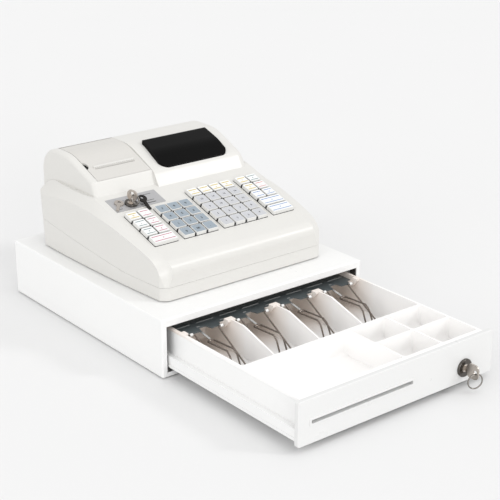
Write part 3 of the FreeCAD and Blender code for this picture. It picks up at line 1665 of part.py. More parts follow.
def build():
    """Make every sub-part."""
    os.makedirs("parts", exist_ok=True)
    save("cabinet_shell", cabinet_shell())
    save("cabinet_base_plate", cabinet_base_plate())
    save("cabinet_rails", cabinet_rails())
    save("cabinet_rollers", cabinet_rollers())
    save("screws", screws())
    save("rubber_feet", rubber_feet())
    save("latch_solenoid", latch_solenoid())
    save("latch_lever", latch_lever())
    save("drawer_pan", drawer_pan())
    save("drawer_front", drawer_front())
    save("drawer_rollers", drawer_rollers())
    save("till_tray", till_tray())
    save("clip_rail", clip_rail())
    save("clip_springs", clip_springs())
    for index in range(bill_bays):
        save("bill_clip_%d" % (index + 1), bill_clip(index))
    save("drawer_lock", drawer_lock())
    save("drawer_key", drawer_key())
    save("drawer_key_ring", drawer_key_ring())
    save("register_base", register_base())
    save("register_cover", register_cover())
    save("printer_lid", printer_lid())
    save("tear_bar", tear_bar())
    save("printer_mechanism", printer_mechanism())
    save("platen_roller", platen_roller())
    save("paper_roll", paper_roll())
    save("display_windows", Part.makeCompound([display_window(), rear_window_solid(0)]))
    save("key_bed", key_bed())
    save("circuit_boards", Part.makeCompound([main_board(), display_module()]))
    save("mode_lock", mode_lock())
    save("mode_key", mode_key())
    save("mode_key_ring", mode_key_ring())
    save("spare_keys", spare_keys())
    save("label_plate", label_plate())
    save("rear_sockets", rear_sockets())
    for name, solids in key_groups().items():
        save(name, Part.makeCompound(solids))


build()
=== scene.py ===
import math

import bmesh
import bpy
from mathutils import Matrix, Vector


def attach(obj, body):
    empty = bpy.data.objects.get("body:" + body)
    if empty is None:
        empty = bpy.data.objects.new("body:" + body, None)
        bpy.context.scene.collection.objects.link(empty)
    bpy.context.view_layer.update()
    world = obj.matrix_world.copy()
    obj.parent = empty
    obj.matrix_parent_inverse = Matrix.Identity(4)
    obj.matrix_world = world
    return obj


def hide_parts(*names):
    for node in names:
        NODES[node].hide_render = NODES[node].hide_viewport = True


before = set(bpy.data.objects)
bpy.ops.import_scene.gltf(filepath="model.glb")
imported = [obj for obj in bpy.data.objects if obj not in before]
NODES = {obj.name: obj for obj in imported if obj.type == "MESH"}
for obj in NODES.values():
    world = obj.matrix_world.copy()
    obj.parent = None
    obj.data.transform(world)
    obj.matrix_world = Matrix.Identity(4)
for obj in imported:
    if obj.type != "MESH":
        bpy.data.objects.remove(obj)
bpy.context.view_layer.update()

bl_info = {
    "name": "Cash register looks",
    "version": (1, 0, 0),
    "blender": (4, 5, 0),
    "location": "View3D > Sidebar > Register",
    "description": "Finishes and fine pieces of a counter cash register on its open till drawer",
    "category": "Object",
}

MM = 0.001
ORIGIN = (0.0, 0.0, 0.0)
UP = (0.0, 0.0, 1.0)


# Sizes and colours that a user would change


def colour_property(name, description, default):
    """Colour with a short explanation."""
    return bpy.props.FloatVectorProperty(name=name, description=description, subtype="COLOR",
                                         size=3, min=0.0, max=1.0, default=default)


def length_property(name, description, default):
    """Length in metres."""
    return bpy.props.FloatProperty(name=name, description=description, unit="LENGTH",
                                   precision=5, default=default)


def place_property(name, description, default):
    """Place in metres."""
    return bpy.props.FloatVectorProperty(name=name, description=description, unit="LENGTH",
                                         subtype="TRANSLATION", size=3, default=default)


def group_property(name, description, kind):
    """Settings that belong together."""
    return bpy.props.PointerProperty(name=name, description=description, type=kind)


class HousingColours(bpy.types.PropertyGroup):
    """Colours of the register's moulded housing, its windows and its plate."""

    cover: colour_property("Cover", "Warm white of the moulded cover", (0.70, 0.69, 0.662))
    lid: colour_property("Printer lid", "Cooler grey of the printer lid", (0.63, 0.615, 0.585))
    window: colour_property("Window", "Smoked plastic of the windows", (0.0015, 0.0015, 0.0015))
    plate: colour_property("Label plate", "Satin silver of the plate", (0.50, 0.50, 0.51))
    plate_ink: colour_property("Plate ink", "Dark print on the plate", (0.03, 0.03, 0.03))
    # The key bed's dark colour also serves the ribs between the keys and the caps' feet as painted
    # shade
    bed: colour_property("Key bed", "Dark plastic under the keys", (0.018, 0.019, 0.022))


class InnerColours(bpy.types.PropertyGroup):
    """Colours of the pieces inside the register."""

    board: colour_property("Board", "Green lacquer of the boards", (0.02, 0.10, 0.045))
    tracks: colour_property("Tracks", "Lighter green over the tracks", (0.05, 0.16, 0.08))
    paper: colour_property("Paper", "Off-white of the paper roll", (0.83, 0.82, 0.79))
    fibre: colour_property("Fibre", "Darker fibres of the paper", (0.77, 0.76, 0.73))


class CabinetColours(bpy.types.PropertyGroup):
    """Colours of the cabinet, the drawer and the tray."""

    enamel: colour_property("Enamel", "White powder coat of cabinet and drawer", (0.87, 0.87, 0.863))
    # Inside: painted shade for the dark gap round the drawer, inside the white cabinet
    inside: colour_property("Inside", "Dark inside of the cabinet", (0.045, 0.04, 0.036))
    tray: colour_property("Tray", "White plastic of the till tray", (0.95, 0.94, 0.93))
    # Tray rear: warm painted shade on the rear of the note bays, under the clip rail
    tray_rear_shade: colour_property("Tray rear", "Warmer rear of the note bays", (0.80, 0.71, 0.64))
    rail: colour_property("Clip rail", "Dark grey enamel of the clip rail", (0.075, 0.088, 0.092))
    # Rail dashes: painted highlight on the embossed dashes of the clip rail
    dashes: colour_property("Rail dashes", "Highlit dashes of the clip rail", (0.50, 0.50, 0.49))
    # Rail tabs: partly the hinge tabs' own bright metal, partly a painted highlight of their chrome
    # glint
    tabs: colour_property("Rail tabs", "Bright hinge tabs of the clip rail", (0.80, 0.80, 0.79))
    wire: colour_property("Clip wire", "Dark brown-grey of the clip wires", (0.20, 0.17, 0.15))
    rubber: colour_property("Rubber", "Black rubber of feet and platen roller", (0.02, 0.02, 0.021))
    nylon: colour_property("Nylon", "Pale nylon of the drawer's rollers", (0.66, 0.655, 0.62))


class MetalColours(bpy.types.PropertyGroup):
    """Colours of the plated metal."""

    lock: colour_property("Locks", "Dark plating of the locks", (0.13, 0.12, 0.11))
    nickel: colour_property("Keys", "Warm nickel of the keys", (0.60, 0.55, 0.50))
    # Spare keys: darker colour on the keys past the mode lock's middle along X
    spare_dark: colour_property("Darkened", "Dark shade on the spare keys", (0.04, 0.038, 0.036))
    ring: colour_property("Rings", "Chrome of the split rings", (0.30, 0.28, 0.26))
    zinc: colour_property("Zinc", "Zinc plate of rails, screws and latch", (0.56, 0.57, 0.58))
    spring: colour_property("Springs", "Steel of the leaf springs", (0.58, 0.58, 0.57))


class KeyColours(bpy.types.PropertyGroup):
    """Colours of the key caps and their marks."""

    skirt: colour_property("Skirt", "White sides of every cap", (0.74, 0.735, 0.715))
    digit: colour_property("Digit top", "Blue-grey tops of the digit keys", (0.30, 0.355, 0.405))
    grid: colour_property("Grid top", "Pale lavender grey tops", (0.55, 0.56, 0.585))
    paper: colour_property("Function top", "White tops of the function keys", (0.84, 0.85, 0.85))
    pink: colour_property("Pink", "Pink bars", (0.42, 0.02, 0.10))
    teal: colour_property("Teal", "Dark teal bars", (0.03, 0.12, 0.12))
    yellow: colour_property("Yellow", "Yellow bars", (0.60, 0.47, 0.15))
    blue: colour_property("Blue", "Blue bars", (0.03, 0.16, 0.45))
    red: colour_property("Red", "Red bars", (0.55, 0.10, 0.08))
    ink: colour_property("Ink", "Dark print", (0.03, 0.03, 0.035))


class KeyboardSizes(bpy.types.PropertyGroup):
    """Sizes of the keyboard, in the sloping deck's own plane."""

    pitch: length_property("Key pitch", "Distance between key middles", 19.0 * MM)
    base: length_property("Cap base", "Width of a cap at the deck", 17.4 * MM)
    top: length_property("Cap top", "Width of a cap at its top", 16.6 * MM)
    height: length_property("Cap height", "Height of a cap over the deck", 5.6 * MM)
    sink: length_property("Cap sink", "Depth of a cap's edge below the deck", 1.0 * MM)
    dish: length_property("Dish", "Depth of the hollow in a cap's top", 0.5 * MM)
    # Ribs: dark strips of painted shade in the gaps between the keys
    web: length_property("Rib", "Thickness of the ribs between the keys", 1.3 * MM)
    gap_shade_top: length_property("Rib top", "Height of the ribs over the deck", 4.0 * MM)
    reach: length_property("Reach", "From the deck's front edge to the keys", 42.5 * MM)
    width: length_property("Keyboard width", "Width over all four blocks", 235.0 * MM)
    deck_front_y: length_property("Deck front", "Y of the deck's front edge", -141.4 * MM)
    deck_front_z: length_property("Deck height", "Z of the deck's front edge", 128.85 * MM)
    tilt: bpy.props.FloatProperty(name="Deck tilt", description="Slope of the deck",
                                  subtype="ANGLE", default=math.radians(16.64))
    digit_mark: length_property("Digit size", "Height of the digit keys' numbers", 5.4 * MM)
    grid_mark: length_property("Grid number size", "Height of the grid keys' numbers", 4.4 * MM)
    function_mark: length_property("Sign size", "Height of the function keys' signs", 4.2 * MM)
    bar: length_property("Bar", "Depth of a coloured bar", 1.9 * MM)
    wide_bar: length_property("Wide bar", "Depth of a yellow bar", 3.2 * MM)


class StageSettings(bpy.types.PropertyGroup):
    """Camera, floor and ambient light."""

    camera_place: place_property("Camera", "Place of the camera", (-1.0085, -1.4115, 0.7387))
    camera_target: place_property("Target", "Point in the frame's middle", (0.0045, -0.1433, 0.1211))
    lens: bpy.props.FloatProperty(name="Lens", description="Focal length in millimetres",
                                  default=94.69)
    floor_colour: colour_property("Floor", "Pale floor", (0.785, 0.785, 0.785))
    floor_radius: length_property("Floor radius", "Radius of the round floor", 14.0)
    sky: bpy.props.FloatProperty(name="Ambient", description="Strength of the soft ambient light",
                                 default=0.86)


class RegisterLooks(bpy.types.PropertyGroup):
    """All settings of the looks."""

    housing: group_property("Housing", "Housing colours", HousingColours)
    inner: group_property("Inner pieces", "Colours inside the register", InnerColours)
    cabinet: group_property("Cabinet", "Cabinet colours", CabinetColours)
    metal: group_property("Metal", "Colours of the plated metal", MetalColours)
    key_colours: group_property("Key colours", "Key colours", KeyColours)
    keyboard: group_property("Keyboard", "Keyboard sizes", KeyboardSizes)
    stage: group_property("Stage", "Camera, floor and light", StageSettings)


def looks():
    """Settings held by the scene."""
    return bpy.context.scene.register_looks


# Node materials; thin ink is lighter than full ink by a share and a fixed lift

THIN_INK_SHARE = 1.3
THIN_INK_LIFT = 0.01


class Finish:
    """Procedural material around one principled shader."""

    def __init__(self, name, colour, roughness, metallic=0.0, **sockets):
        self.material = bpy.data.materials.new(name)
        self.material.use_nodes = True
        self.nodes = self.material.node_tree.nodes
        self.links = self.material.node_tree.links
        self.shader = self.nodes["Principled BSDF"]
        self.colour = tuple(colour)
        self.put("Base Color", (*self.colour, 1.0))
        self.put("Roughness", roughness)
        self.put("Metallic", metallic)
        for socket, value in sockets.items():
            self.put(socket.replace("_", " "), value)
        self.place = self.node("ShaderNodeTexCoord").outputs["Object"]
        self.last_normal = None

    def put(self, socket, value):
        """Set a socket of the shader."""
        self.shader.inputs[socket].default_value = value

    def node(self, kind, **settings):
        """New node with its settings and unlinked inputs."""
        made = self.nodes.new(kind)
        for key, value in settings.items():
            if hasattr(made, key):
                setattr(made, key, value)
            else:
                made.inputs[key].default_value = value
        return made

    def noise(self, scale, detail, stretch=(1.0, 1.0, 1.0)):
        """Noise over the object's own coordinates, stretched along an axis if wanted."""
        mapping = self.node("ShaderNodeMapping", Scale=stretch)
        self.links.new(self.place, mapping.inputs["Vector"])
        noise = self.node("ShaderNodeTexNoise", Scale=scale, Detail=detail)
        self.links.new(mapping.outputs["Vector"], noise.inputs["Vector"])
        return noise.outputs["Fac"]

    def along(self, axis):
        """One of the object's coordinates."""
        split = self.node("ShaderNodeSeparateXYZ")
        self.links.new(self.place, split.inputs["Vector"])
        return split.outputs[axis]

    def inside(self, low, high):
        """One within a box of the object's coordinates, zero outside it."""
        shift = self.node("ShaderNodeVectorMath", operation="SUBTRACT")
        shift.inputs[1].default_value = [(a + b) / 2 for a, b in zip(low, high)]
        self.links.new(self.place, shift.inputs[0])
        share = self.node("ShaderNodeVectorMath", operation="DIVIDE")
        share.inputs[1].default_value = [(b - a) / 2 for a, b in zip(low, high)]
        self.links.new(shift.outputs["Vector"], share.inputs[0])
        whole = self.node("ShaderNodeVectorMath", operation="ABSOLUTE")
        self.links.new(share.outputs["Vector"], whole.inputs[0])
        split = self.node("ShaderNodeSeparateXYZ")
        self.links.new(whole.outputs["Vector"], split.inputs["Vector"])
        last = split.outputs["X"]
        for axis in "YZ":
            most = self.node("ShaderNodeMath", operation="MAXIMUM")
            self.links.new(last, most.inputs[0])
            self.links.new(split.outputs[axis], most.inputs[1])
            last = most.outputs["Value"]
        return self.spread(last, 1.0, 0.0, from_low=0.9999, from_high=1.0)

    def spread(self, value, low, high, from_low=0.3, from_high=0.7):
        """Value rescaled between two numbers."""
        made = self.node("ShaderNodeMapRange")
        made.inputs["From Min"].default_value = from_low
        made.inputs["From Max"].default_value = from_high
        made.inputs["To Min"].default_value = low
        made.inputs["To Max"].default_value = high
        self.links.new(value, made.inputs["Value"])
        return made.outputs["Result"]

    def tint(self, factor, other):
        """Blend the base colour towards another one by a factor that varies over the surface."""
        mix = self.node("ShaderNodeMix", data_type="RGBA")
        colours = [socket for socket in mix.inputs if socket.type == "RGBA"]
        base = self.shader.inputs["Base Color"]
        if base.links:
            self.links.new(base.links[0].from_socket, colours[0])
        else:
            colours[0].default_value = (*self.colour, 1.0)
        colours[1].default_value = (*other, 1.0)
        self.links.new(factor, mix.inputs["Factor"])
        result = [socket for socket in mix.outputs if socket.type == "RGBA"][0]
        self.links.new(result, base)

    def clouds(self, scale, detail, most, other):
        """Soft clouds of another colour, up to a largest share of it."""
        self.tint(self.spread(self.noise(scale, detail), 0.0, most), other)

    def rough(self, factor, low, high):
        """Let the roughness vary."""
        self.links.new(self.spread(factor, low, high), self.shader.inputs["Roughness"])

    def bump(self, height, depth, strength):
        """Add a relief of a given depth in metres."""
        bump = self.node("ShaderNodeBump", Strength=strength, Distance=depth)
        self.links.new(height, bump.inputs["Height"])
        if self.last_normal:
            self.links.new(self.last_normal, bump.inputs["Normal"])
        self.last_normal = bump.outputs["Normal"]
        self.links.new(self.last_normal, self.shader.inputs["Normal"])


def darker(colour, share):
    """Colour scaled by a share; a share over one makes it lighter."""
    return tuple(channel * share for channel in colour)


def moulded_plastic(name, colour, roughness, grain=0.00004):
    """Fine-grained moulded plastic with faint clouds of colour and handling marks."""
    finish = Finish(name, colour, roughness, Specular_IOR_Level=0.45)
    finish.clouds(scale=7.0, detail=3.0, most=0.4, other=darker(colour, 0.97))
    finish.clouds(scale=420.0, detail=1.0, most=0.35, other=darker(colour, 0.97))
    finish.rough(finish.noise(scale=24.0, detail=4.0), low=roughness - 0.02, high=roughness + 0.04)
    finish.bump(finish.noise(scale=1500.0, detail=2.0), depth=grain, strength=0.55)
    return finish


def powder_coat(name, colour):
    """White powder coat with a fine orange peel and faint rub marks."""
    finish = Finish(name, colour, roughness=0.34, Specular_IOR_Level=0.5, Coat_Weight=0.12,
                    Coat_Roughness=0.2)
    rubs = (1.0, 0.25, 1.0)
    finish.clouds(scale=5.0, detail=3.0, most=0.4, other=darker(colour, 0.97))
    finish.rough(finish.noise(scale=30.0, detail=5.0, stretch=rubs), low=0.27, high=0.42)
    finish.bump(finish.noise(scale=380.0, detail=1.0), depth=0.00006, strength=0.5)
    finish.bump(finish.noise(scale=1700.0, detail=1.0), depth=0.00002, strength=0.4)
    return finish


def brushed_metal(name, colour, roughness, stretch=(1.0, 14.0, 14.0), scale=160.0):
    """Drawn or brushed metal with streaks along one axis."""
    finish = Finish(name, colour, roughness, metallic=1.0)
    streaks = finish.noise(scale, detail=4.0, stretch=stretch)
    finish.tint(finish.spread(streaks, low=0.0, high=0.7), darker(colour, 0.72))
    finish.clouds(scale=60.0, detail=3.0, most=0.5, other=darker(colour, 0.8))
    finish.rough(streaks, low=roughness - 0.08, high=roughness + 0.12)
    finish.bump(streaks, depth=0.00003, strength=0.4)
    return finish


def key_plastic(name, colour):
    """Satin cap plastic."""
    finish = Finish(name, colour, roughness=0.36, Specular_IOR_Level=0.5)
    finish.clouds(scale=90.0, detail=3.0, most=0.5, other=darker(colour, 0.94))
    finish.rough(finish.noise(scale=160.0, detail=3.0), low=0.30, high=0.46)
    finish.bump(finish.noise(scale=2200.0, detail=1.0), depth=0.00002, strength=0.4)
    return finish.material


def ink_finish(name, colour):
    """Printed ink, slightly uneven and lighter where it is thin."""
    thin_ink = tuple(min(channel * THIN_INK_SHARE + THIN_INK_LIFT, 1.0) for channel in colour)
    finish = Finish(name, colour, roughness=0.4)
    finish.clouds(scale=900.0, detail=2.0, most=0.4, other=thin_ink)
    return finish.material


def paint(finish, *names):
    """Give CAD nodes a finish."""
    for name in names:
        mesh_object = NODES[name]
        if not mesh_object.material_slots:
            mesh_object.data.materials.append(finish.material)
        for slot in mesh_object.material_slots:
            slot.material = finish.material


# Shapes: distances in metres under which points count as one or as level, the sharpest edge
# that is still shaded smooth, and the share of their size by which letters are thickened

MERGE = 1e-7
TOUCH = 1e-6
SMOOTH_ANGLE = math.radians(40.0)
LETTER_WEIGHT = 0.028
LETTER_CURVE_STEPS = 3


def finished_object(name, bm, materials):
    """Object at the origin from a mesh whose place is already in it."""
    bmesh.ops.recalc_face_normals(bm, faces=bm.faces)
    mesh = bpy.data.meshes.new(name)
    bm.to_mesh(mesh)
    bm.free()
    for material in materials:
        mesh.materials.append(material)
    made = bpy.data.objects.new(name, mesh)
    bpy.context.scene.collection.objects.link(made)
    return made


def shade_smooth(made):
    """Smooth shading that keeps the sharper edges."""
    mesh = made.data
    mesh.polygons.foreach_set("use_smooth", [True] * len(mesh.polygons))
    bm = bmesh.new()
    bm.from_mesh(mesh)
    for edge in bm.edges:
        edge.smooth = len(edge.link_faces) == 2 and edge.calc_face_angle(0.0) < SMOOTH_ANGLE
    bm.to_mesh(mesh)
    bm.free()


def add_box(bm, low, high, material=0):
    """Box between two corners, with a material index."""
    made = bmesh.ops.create_cube(bm, size=1.0)["verts"]
    size = Vector(high) - Vector(low)
    middle = (Vector(high) + Vector(low)) / 2
    bmesh.ops.scale(bm, vec=size, verts=made)
    bmesh.ops.translate(bm, vec=middle, verts=made)
    for face in {face for vert in made for face in vert.link_faces}:
        face.material_index = material
    return made


def bevel(bm, edges, offset, segments):
    """Round edges."""
    bmesh.ops.bevel(bm, geom=edges, offset=offset, offset_type="OFFSET", segments=segments,
                    profile=0.5, affect="EDGES", material=-1)


def cut(bm, geometry, place, normal):
    """Cut faces along a plane."""
    bmesh.ops.bisect_plane(bm, geom=geometry, dist=MERGE, plane_co=place, plane_no=normal)


def deck_matrix():
    """From the sloping deck's own axes to the object's."""
    sizes = looks().keyboard
    place = Matrix.Translation((0.0, sizes.deck_front_y, sizes.deck_front_z))
    return place @ Matrix.Rotation(sizes.tilt, 4, "X")


def lettering(body, size, thickness):
    """Mesh of a short bold text, centred on the origin."""
    curve = bpy.data.curves.new("lettering", "FONT")
    curve.body = body
    curve.size = size
    curve.offset = size * LETTER_WEIGHT
    curve.extrude = thickness / 2
    curve.align_x = "CENTER"
    curve.align_y = "CENTER"
    curve.resolution_u = LETTER_CURVE_STEPS
    holder = bpy.data.objects.new("lettering", curve)
    mesh = bpy.data.meshes.new_from_object(holder)
    bpy.data.objects.remove(holder)
    bpy.data.curves.remove(curve)
    return mesh


def add_mesh(bm, mesh, matrix, material):
    """Move a mesh into a bmesh, placed by a matrix."""
    before = len(bm.faces)
    mesh.transform(matrix)
    bm.from_mesh(mesh)
    bm.faces.ensure_lookup_table()
    for face in bm.faces[before:]:
        face.material_index = material
    bpy.data.meshes.remove(mesh)


# Blocks of keys, from left to right: columns, rows, and front rows that are one wide key

BLOCK_COLUMNS = (2, 3, 4, 2)
BLOCK_ROWS = (4, 4, 5, 5)
WIDE_ROWS = (1, 0, 0, 2)
LEFT_BLOCK, DIGIT_BLOCK, GRID_BLOCK, RIGHT_BLOCK = range(4)
# Lowest point of the ribs of painted shade between the keys
GAP_SHADE_LOW = 2.0 * MM


def key_blocks():
    """Left side, columns and rows of the four blocks of keys."""
    sizes = looks().keyboard
    gaps = len(BLOCK_COLUMNS) - 1
    gap = (sizes.width - sum(BLOCK_COLUMNS) * sizes.pitch) / gaps
    left, blocks = -sizes.width / 2, []
    for columns, rows in zip(BLOCK_COLUMNS, BLOCK_ROWS):
        blocks.append((left, columns, rows))
        left += columns * sizes.pitch + gap
    return blocks


def key_middle(block, column, row, span=1):
    """Middle of a key in the deck's plane."""
    sizes = looks().keyboard
    return (block[0] + (column + span / 2) * sizes.pitch, sizes.reach + (row + 0.5) * sizes.pitch)


class REGISTER_OT_key_gap_shade(bpy.types.Operator):
    """Thin dark ribs that close the gaps between the keys of each block, as painted shade in those
    gaps.
    """

    bl_idname = "register_looks.key_web"
    bl_label = "Ribs between keys"

    def execute(self, context):
        sizes = looks().keyboard
        low, high = GAP_SHADE_LOW, sizes.gap_shade_top
        half, edge = sizes.web / 2, (sizes.pitch - sizes.base) / 2
        bm = bmesh.new()
        for (left, columns, rows), wide_rows in zip(key_blocks(), WIDE_ROWS):
            right = left + columns * sizes.pitch
            for row in range(rows):
                y = sizes.reach + row * sizes.pitch
                front = y + (half if row else edge)
                back = y + sizes.pitch - (half if row < rows - 1 else edge)
                if row:
                    add_box(bm, (left + edge, y - half, low), (right - edge, y + half, high))
                for column in range(1, columns if row >= wide_rows else 1):
                    x = left + column * sizes.pitch
                    add_box(bm, (x - half, front, low), (x + half, back, high))
        bmesh.ops.transform(bm, matrix=deck_matrix(), verts=bm.verts)
        web = finished_object("key_web", bm, [key_plastic("web_plastic", looks().housing.bed)])
        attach(web, "housing")
        return {"FINISHED"}


# Key caps: their materials in the order of the slots

SKIRT, TOP, BAR, INK, FOOT_SHADE_AND_STEM = range(5)

# Round corners of a cap, and the round rim that sets its top off

CORNER_ROUND = 1.7 * MM
CORNER_STEPS = 4
RIM_ROUND = 0.4 * MM
RIM_STEPS = 3
RIM_WIDTH = 0.2 * MM
RIM_DROP = 0.06 * MM

# Hollow top: strips it is cut into, share of the hollow that is gone at its front and back, how
# far under the top a point still sinks with it, and how level a face of it is

DISH_STRIPS = 12
DISH_RISE = 0.83
DISH_ZONE = 0.75 * MM
LEVEL_NORMAL = 0.9

# Painted shade on a cap's foot, and its dark stem, from the deck's plane

FOOT_SHADE_TOP = 0.5 * MM
STEM_HALF = 2.5 * MM
STEM_DEPTH = 8.8 * MM

# Print on a top: places of the two bars as shares of the cap's width, their distance from its
# sides, and how far bars and letters reach under and over the face

BAR_PLACES = (-0.30, 0.31)
BAR_INSET = 1.9 * MM
BAR_SINK = 0.10 * MM
BAR_RISE = 0.07 * MM
PRINT_DROP = 0.12 * MM
LETTER_THICKNESS = 0.16 * MM
LETTER_RISE = 0.02 * MM


def dish_depth(sizes, y):
    """Depth of the hollow across a cap's top, nearly gone at its front and back."""
    return sizes.dish * (1.0 - DISH_RISE * min(abs(y) / (sizes.top / 2), 1.0) ** 2)


def tapered_cap(bm, sizes, extra):
    """Tapered body with rounded corners and a fine rim round its top; extra widens it."""
    base, top = sizes.base + extra, sizes.top + extra
    add_box(bm, (-base / 2, -sizes.base / 2, -sizes.sink), (base / 2, sizes.base / 2, sizes.height),
            SKIRT)
    upper = [vert for vert in bm.verts if vert.co.z > 0]
    bmesh.ops.scale(bm, vec=(top / base, sizes.top / sizes.base, 1.0), verts=upper)
    upright = [edge for edge in bm.edges
               if abs(edge.verts[0].co.z - edge.verts[1].co.z) > sizes.sink]
    bevel(bm, upright, CORNER_ROUND, CORNER_STEPS)
    rim = [edge for edge in bm.edges
           if min(vert.co.z for vert in edge.verts) > sizes.height - TOUCH]
    bevel(bm, rim, RIM_ROUND, RIM_STEPS)
    top_face = max(bm.faces,
                   key=lambda face: (round(face.calc_center_median().z, 6), face.calc_area()))
    bmesh.ops.inset_region(bm, faces=[top_face], thickness=RIM_WIDTH, depth=-RIM_DROP)
    top_face.material_index = TOP


def hollow_top(bm, sizes):
    """Cut a cap's top into strips and sink them into a shallow hollow."""
    for step in range(1 - DISH_STRIPS // 2, DISH_STRIPS // 2):
        level = [face for face in bm.faces if face.normal.z > LEVEL_NORMAL]
        geometry = set(level)
        for face in level:
            geometry.update(face.edges)
            geometry.update(face.verts)
        cut(bm, list(geometry), (0.0, step * sizes.top / DISH_STRIPS, 0.0), (0.0, 1.0, 0.0))
    for vert in bm.verts:
        if vert.co.z > sizes.height - DISH_ZONE:
            vert.co.z -= dish_depth(sizes, vert.co.y)


def cap_mesh(span):
    """Cap with a hollow top, a foot darkened as painted shade, and its dark stem; span counts the
    keys it is wide.
    """
    sizes = looks().keyboard
    bm = bmesh.new()
    tapered_cap(bm, sizes, (span - 1) * sizes.pitch)
    hollow_top(bm, sizes)
    # The skirt's lowest part, up to half a millimetre over the deck, takes the dark colour: painted
    # shade where the cap meets the deck
    cut(bm, bm.verts[:] + bm.edges[:] + bm.faces[:], (0.0, 0.0, FOOT_SHADE_TOP), UP)
    for face in bm.faces:
        if face.calc_center_median().z < FOOT_SHADE_TOP:
            face.material_index = FOOT_SHADE_AND_STEM
    add_box(bm, (-STEM_HALF, -STEM_HALF, -STEM_DEPTH), (STEM_HALF, STEM_HALF, -sizes.sink / 2), FOOT_SHADE_AND_STEM)
    return bm


def add_key(target, middle, span, bar, mark, mark_size):
    """One cap with its print, added to a bmesh in the deck's plane."""
    sizes = looks().keyboard
    cap = cap_mesh(span)
    surface = sizes.height - PRINT_DROP
    half = (sizes.top + (span - 1) * sizes.pitch) / 2 - BAR_INSET
    if bar:
        for share in BAR_PLACES:
            y = share * sizes.top
            z = surface - dish_depth(sizes, y)
            add_box(cap, (-half, y - bar / 2, z - BAR_SINK), (half, y + bar / 2, z + BAR_RISE), BAR)
    z = surface - dish_depth(sizes, 0.0)
    letters = lettering(mark, mark_size, LETTER_THICKNESS)
    add_mesh(cap, letters, Matrix.Translation((0.0, 0.0, z + LETTER_RISE)), INK)
    bmesh.ops.translate(cap, vec=(*middle, 0.0), verts=cap.verts)
    mesh = bpy.data.meshes.new("cap")
    cap.to_mesh(mesh)
    cap.free()
    target.from_mesh(mesh)
    bpy.data.meshes.remove(mesh)


def key_piece(name, node, keys, materials):
    """Piece that stands for keys of a CAD node; keys holds middle, span, bar, mark and mark size."""
    bm = bmesh.new()
    for key in keys:
        add_key(bm, *key)
    bmesh.ops.transform(bm, matrix=deck_matrix(), verts=bm.verts)
    made = finished_object(name, bm, materials)
    shade_smooth(made)
    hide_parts(node)
    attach(made, node + "_body")


# Digit, grid and function keys with their marks

DIGITS = ("0", "00", ".", "1", "2", "3", "4", "5", "6", "7", "8", "9")
GRID_REAR_SIGNS = "+-x%"
DIGIT_INK_SHARE = 0.5
GRID_INK_SHARE = 1.4
WIDE_KEYS = (
    ("left_wide_key", "key_left_wide", LEFT_BLOCK, 0, "pink", "="),
    ("right_wide_key_1", "key_right_wide_1", RIGHT_BLOCK, 0, "blue", "="),
    ("right_wide_key_2", "key_right_wide_2", RIGHT_BLOCK, 1, "blue", "+"),
)
FUNCTION_COLUMNS = (
    ("left", LEFT_BLOCK, 1, ((1, "teal", "+"), (2, "teal", "-"), (3, "yellow", "%"))),
    ("left", LEFT_BLOCK, 2, ((1, "pink", "x"), (2, "pink", "+"), (3, "pink", "-"))),
    ("right", RIGHT_BLOCK, 1, ((2, "blue", "-"), (3, "yellow", "%"), (4, "yellow", "+"))),
    ("right", RIGHT_BLOCK, 2, ((2, "blue", "x"), (3, "red", "-"), (4, "teal", "+"))),
)


class REGISTER_OT_digit_keys(bpy.types.Operator):
    """Twelve blue-grey digit keys with plain numbers."""

    bl_idname = "register_looks.digit_keys"
    bl_label = "Digit keys"

    def execute(self, context):
        colours = looks().key_colours
        skirt = key_plastic("cap_skirt", colours.skirt)
        top = key_plastic("digit_top", colours.digit)
        ink = ink_finish("digit_ink", darker(colours.ink, DIGIT_INK_SHARE))
        # Dark material for the caps' painted shade at their foot and for their stems
        foot_shade_and_stem = key_plastic("cap_foot", looks().housing.bed)
        block = key_blocks()[DIGIT_BLOCK]
        for index, mark in enumerate(DIGITS):
            row, column = divmod(index, block[1])
            key = (key_middle(block, column, row), 1, 0.0, mark, looks().keyboard.digit_mark)
            key_piece("digit_key_%02d" % (index + 1), "key_digit_%02d" % (index + 1), [key],
                      [skirt, top, top, ink, foot_shade_and_stem])
        return {"FINISHED"}


class REGISTER_OT_grid_keys(bpy.types.Operator):
    """Twenty keys in four columns: numbered pale ones, and a rear row with yellow bars."""

    bl_idname = "register_looks.grid_keys"
    bl_label = "Grid keys"

    def execute(self, context):
        colours = looks().key_colours
        skirt = bpy.data.materials["cap_skirt"]
        top = key_plastic("grid_top", colours.grid)
        ink = ink_finish("grid_ink", darker(colours.ink, GRID_INK_SHARE))
        foot_shade_and_stem = bpy.data.materials["cap_foot"]
        block = key_blocks()[GRID_BLOCK]
        columns, rear_row = block[1], block[2] - 1
        for column in range(columns):
            keys = []
            for row in range(rear_row):
                number = str(row * columns + column + 1)
                middle = key_middle(block, column, row)
                keys.append((middle, 1, 0.0, number, looks().keyboard.grid_mark))
            node = "keys_grid_column_%d" % (column + 1)
            key_piece("grid_keys_%d" % (column + 1), node, keys, [skirt, top, top, ink, foot_shade_and_stem])
            function_piece("grid_rear_key_%d" % (column + 1), node,
                           key_middle(block, column, rear_row), 1, "yellow", GRID_REAR_SIGNS[column])
        return {"FINISHED"}


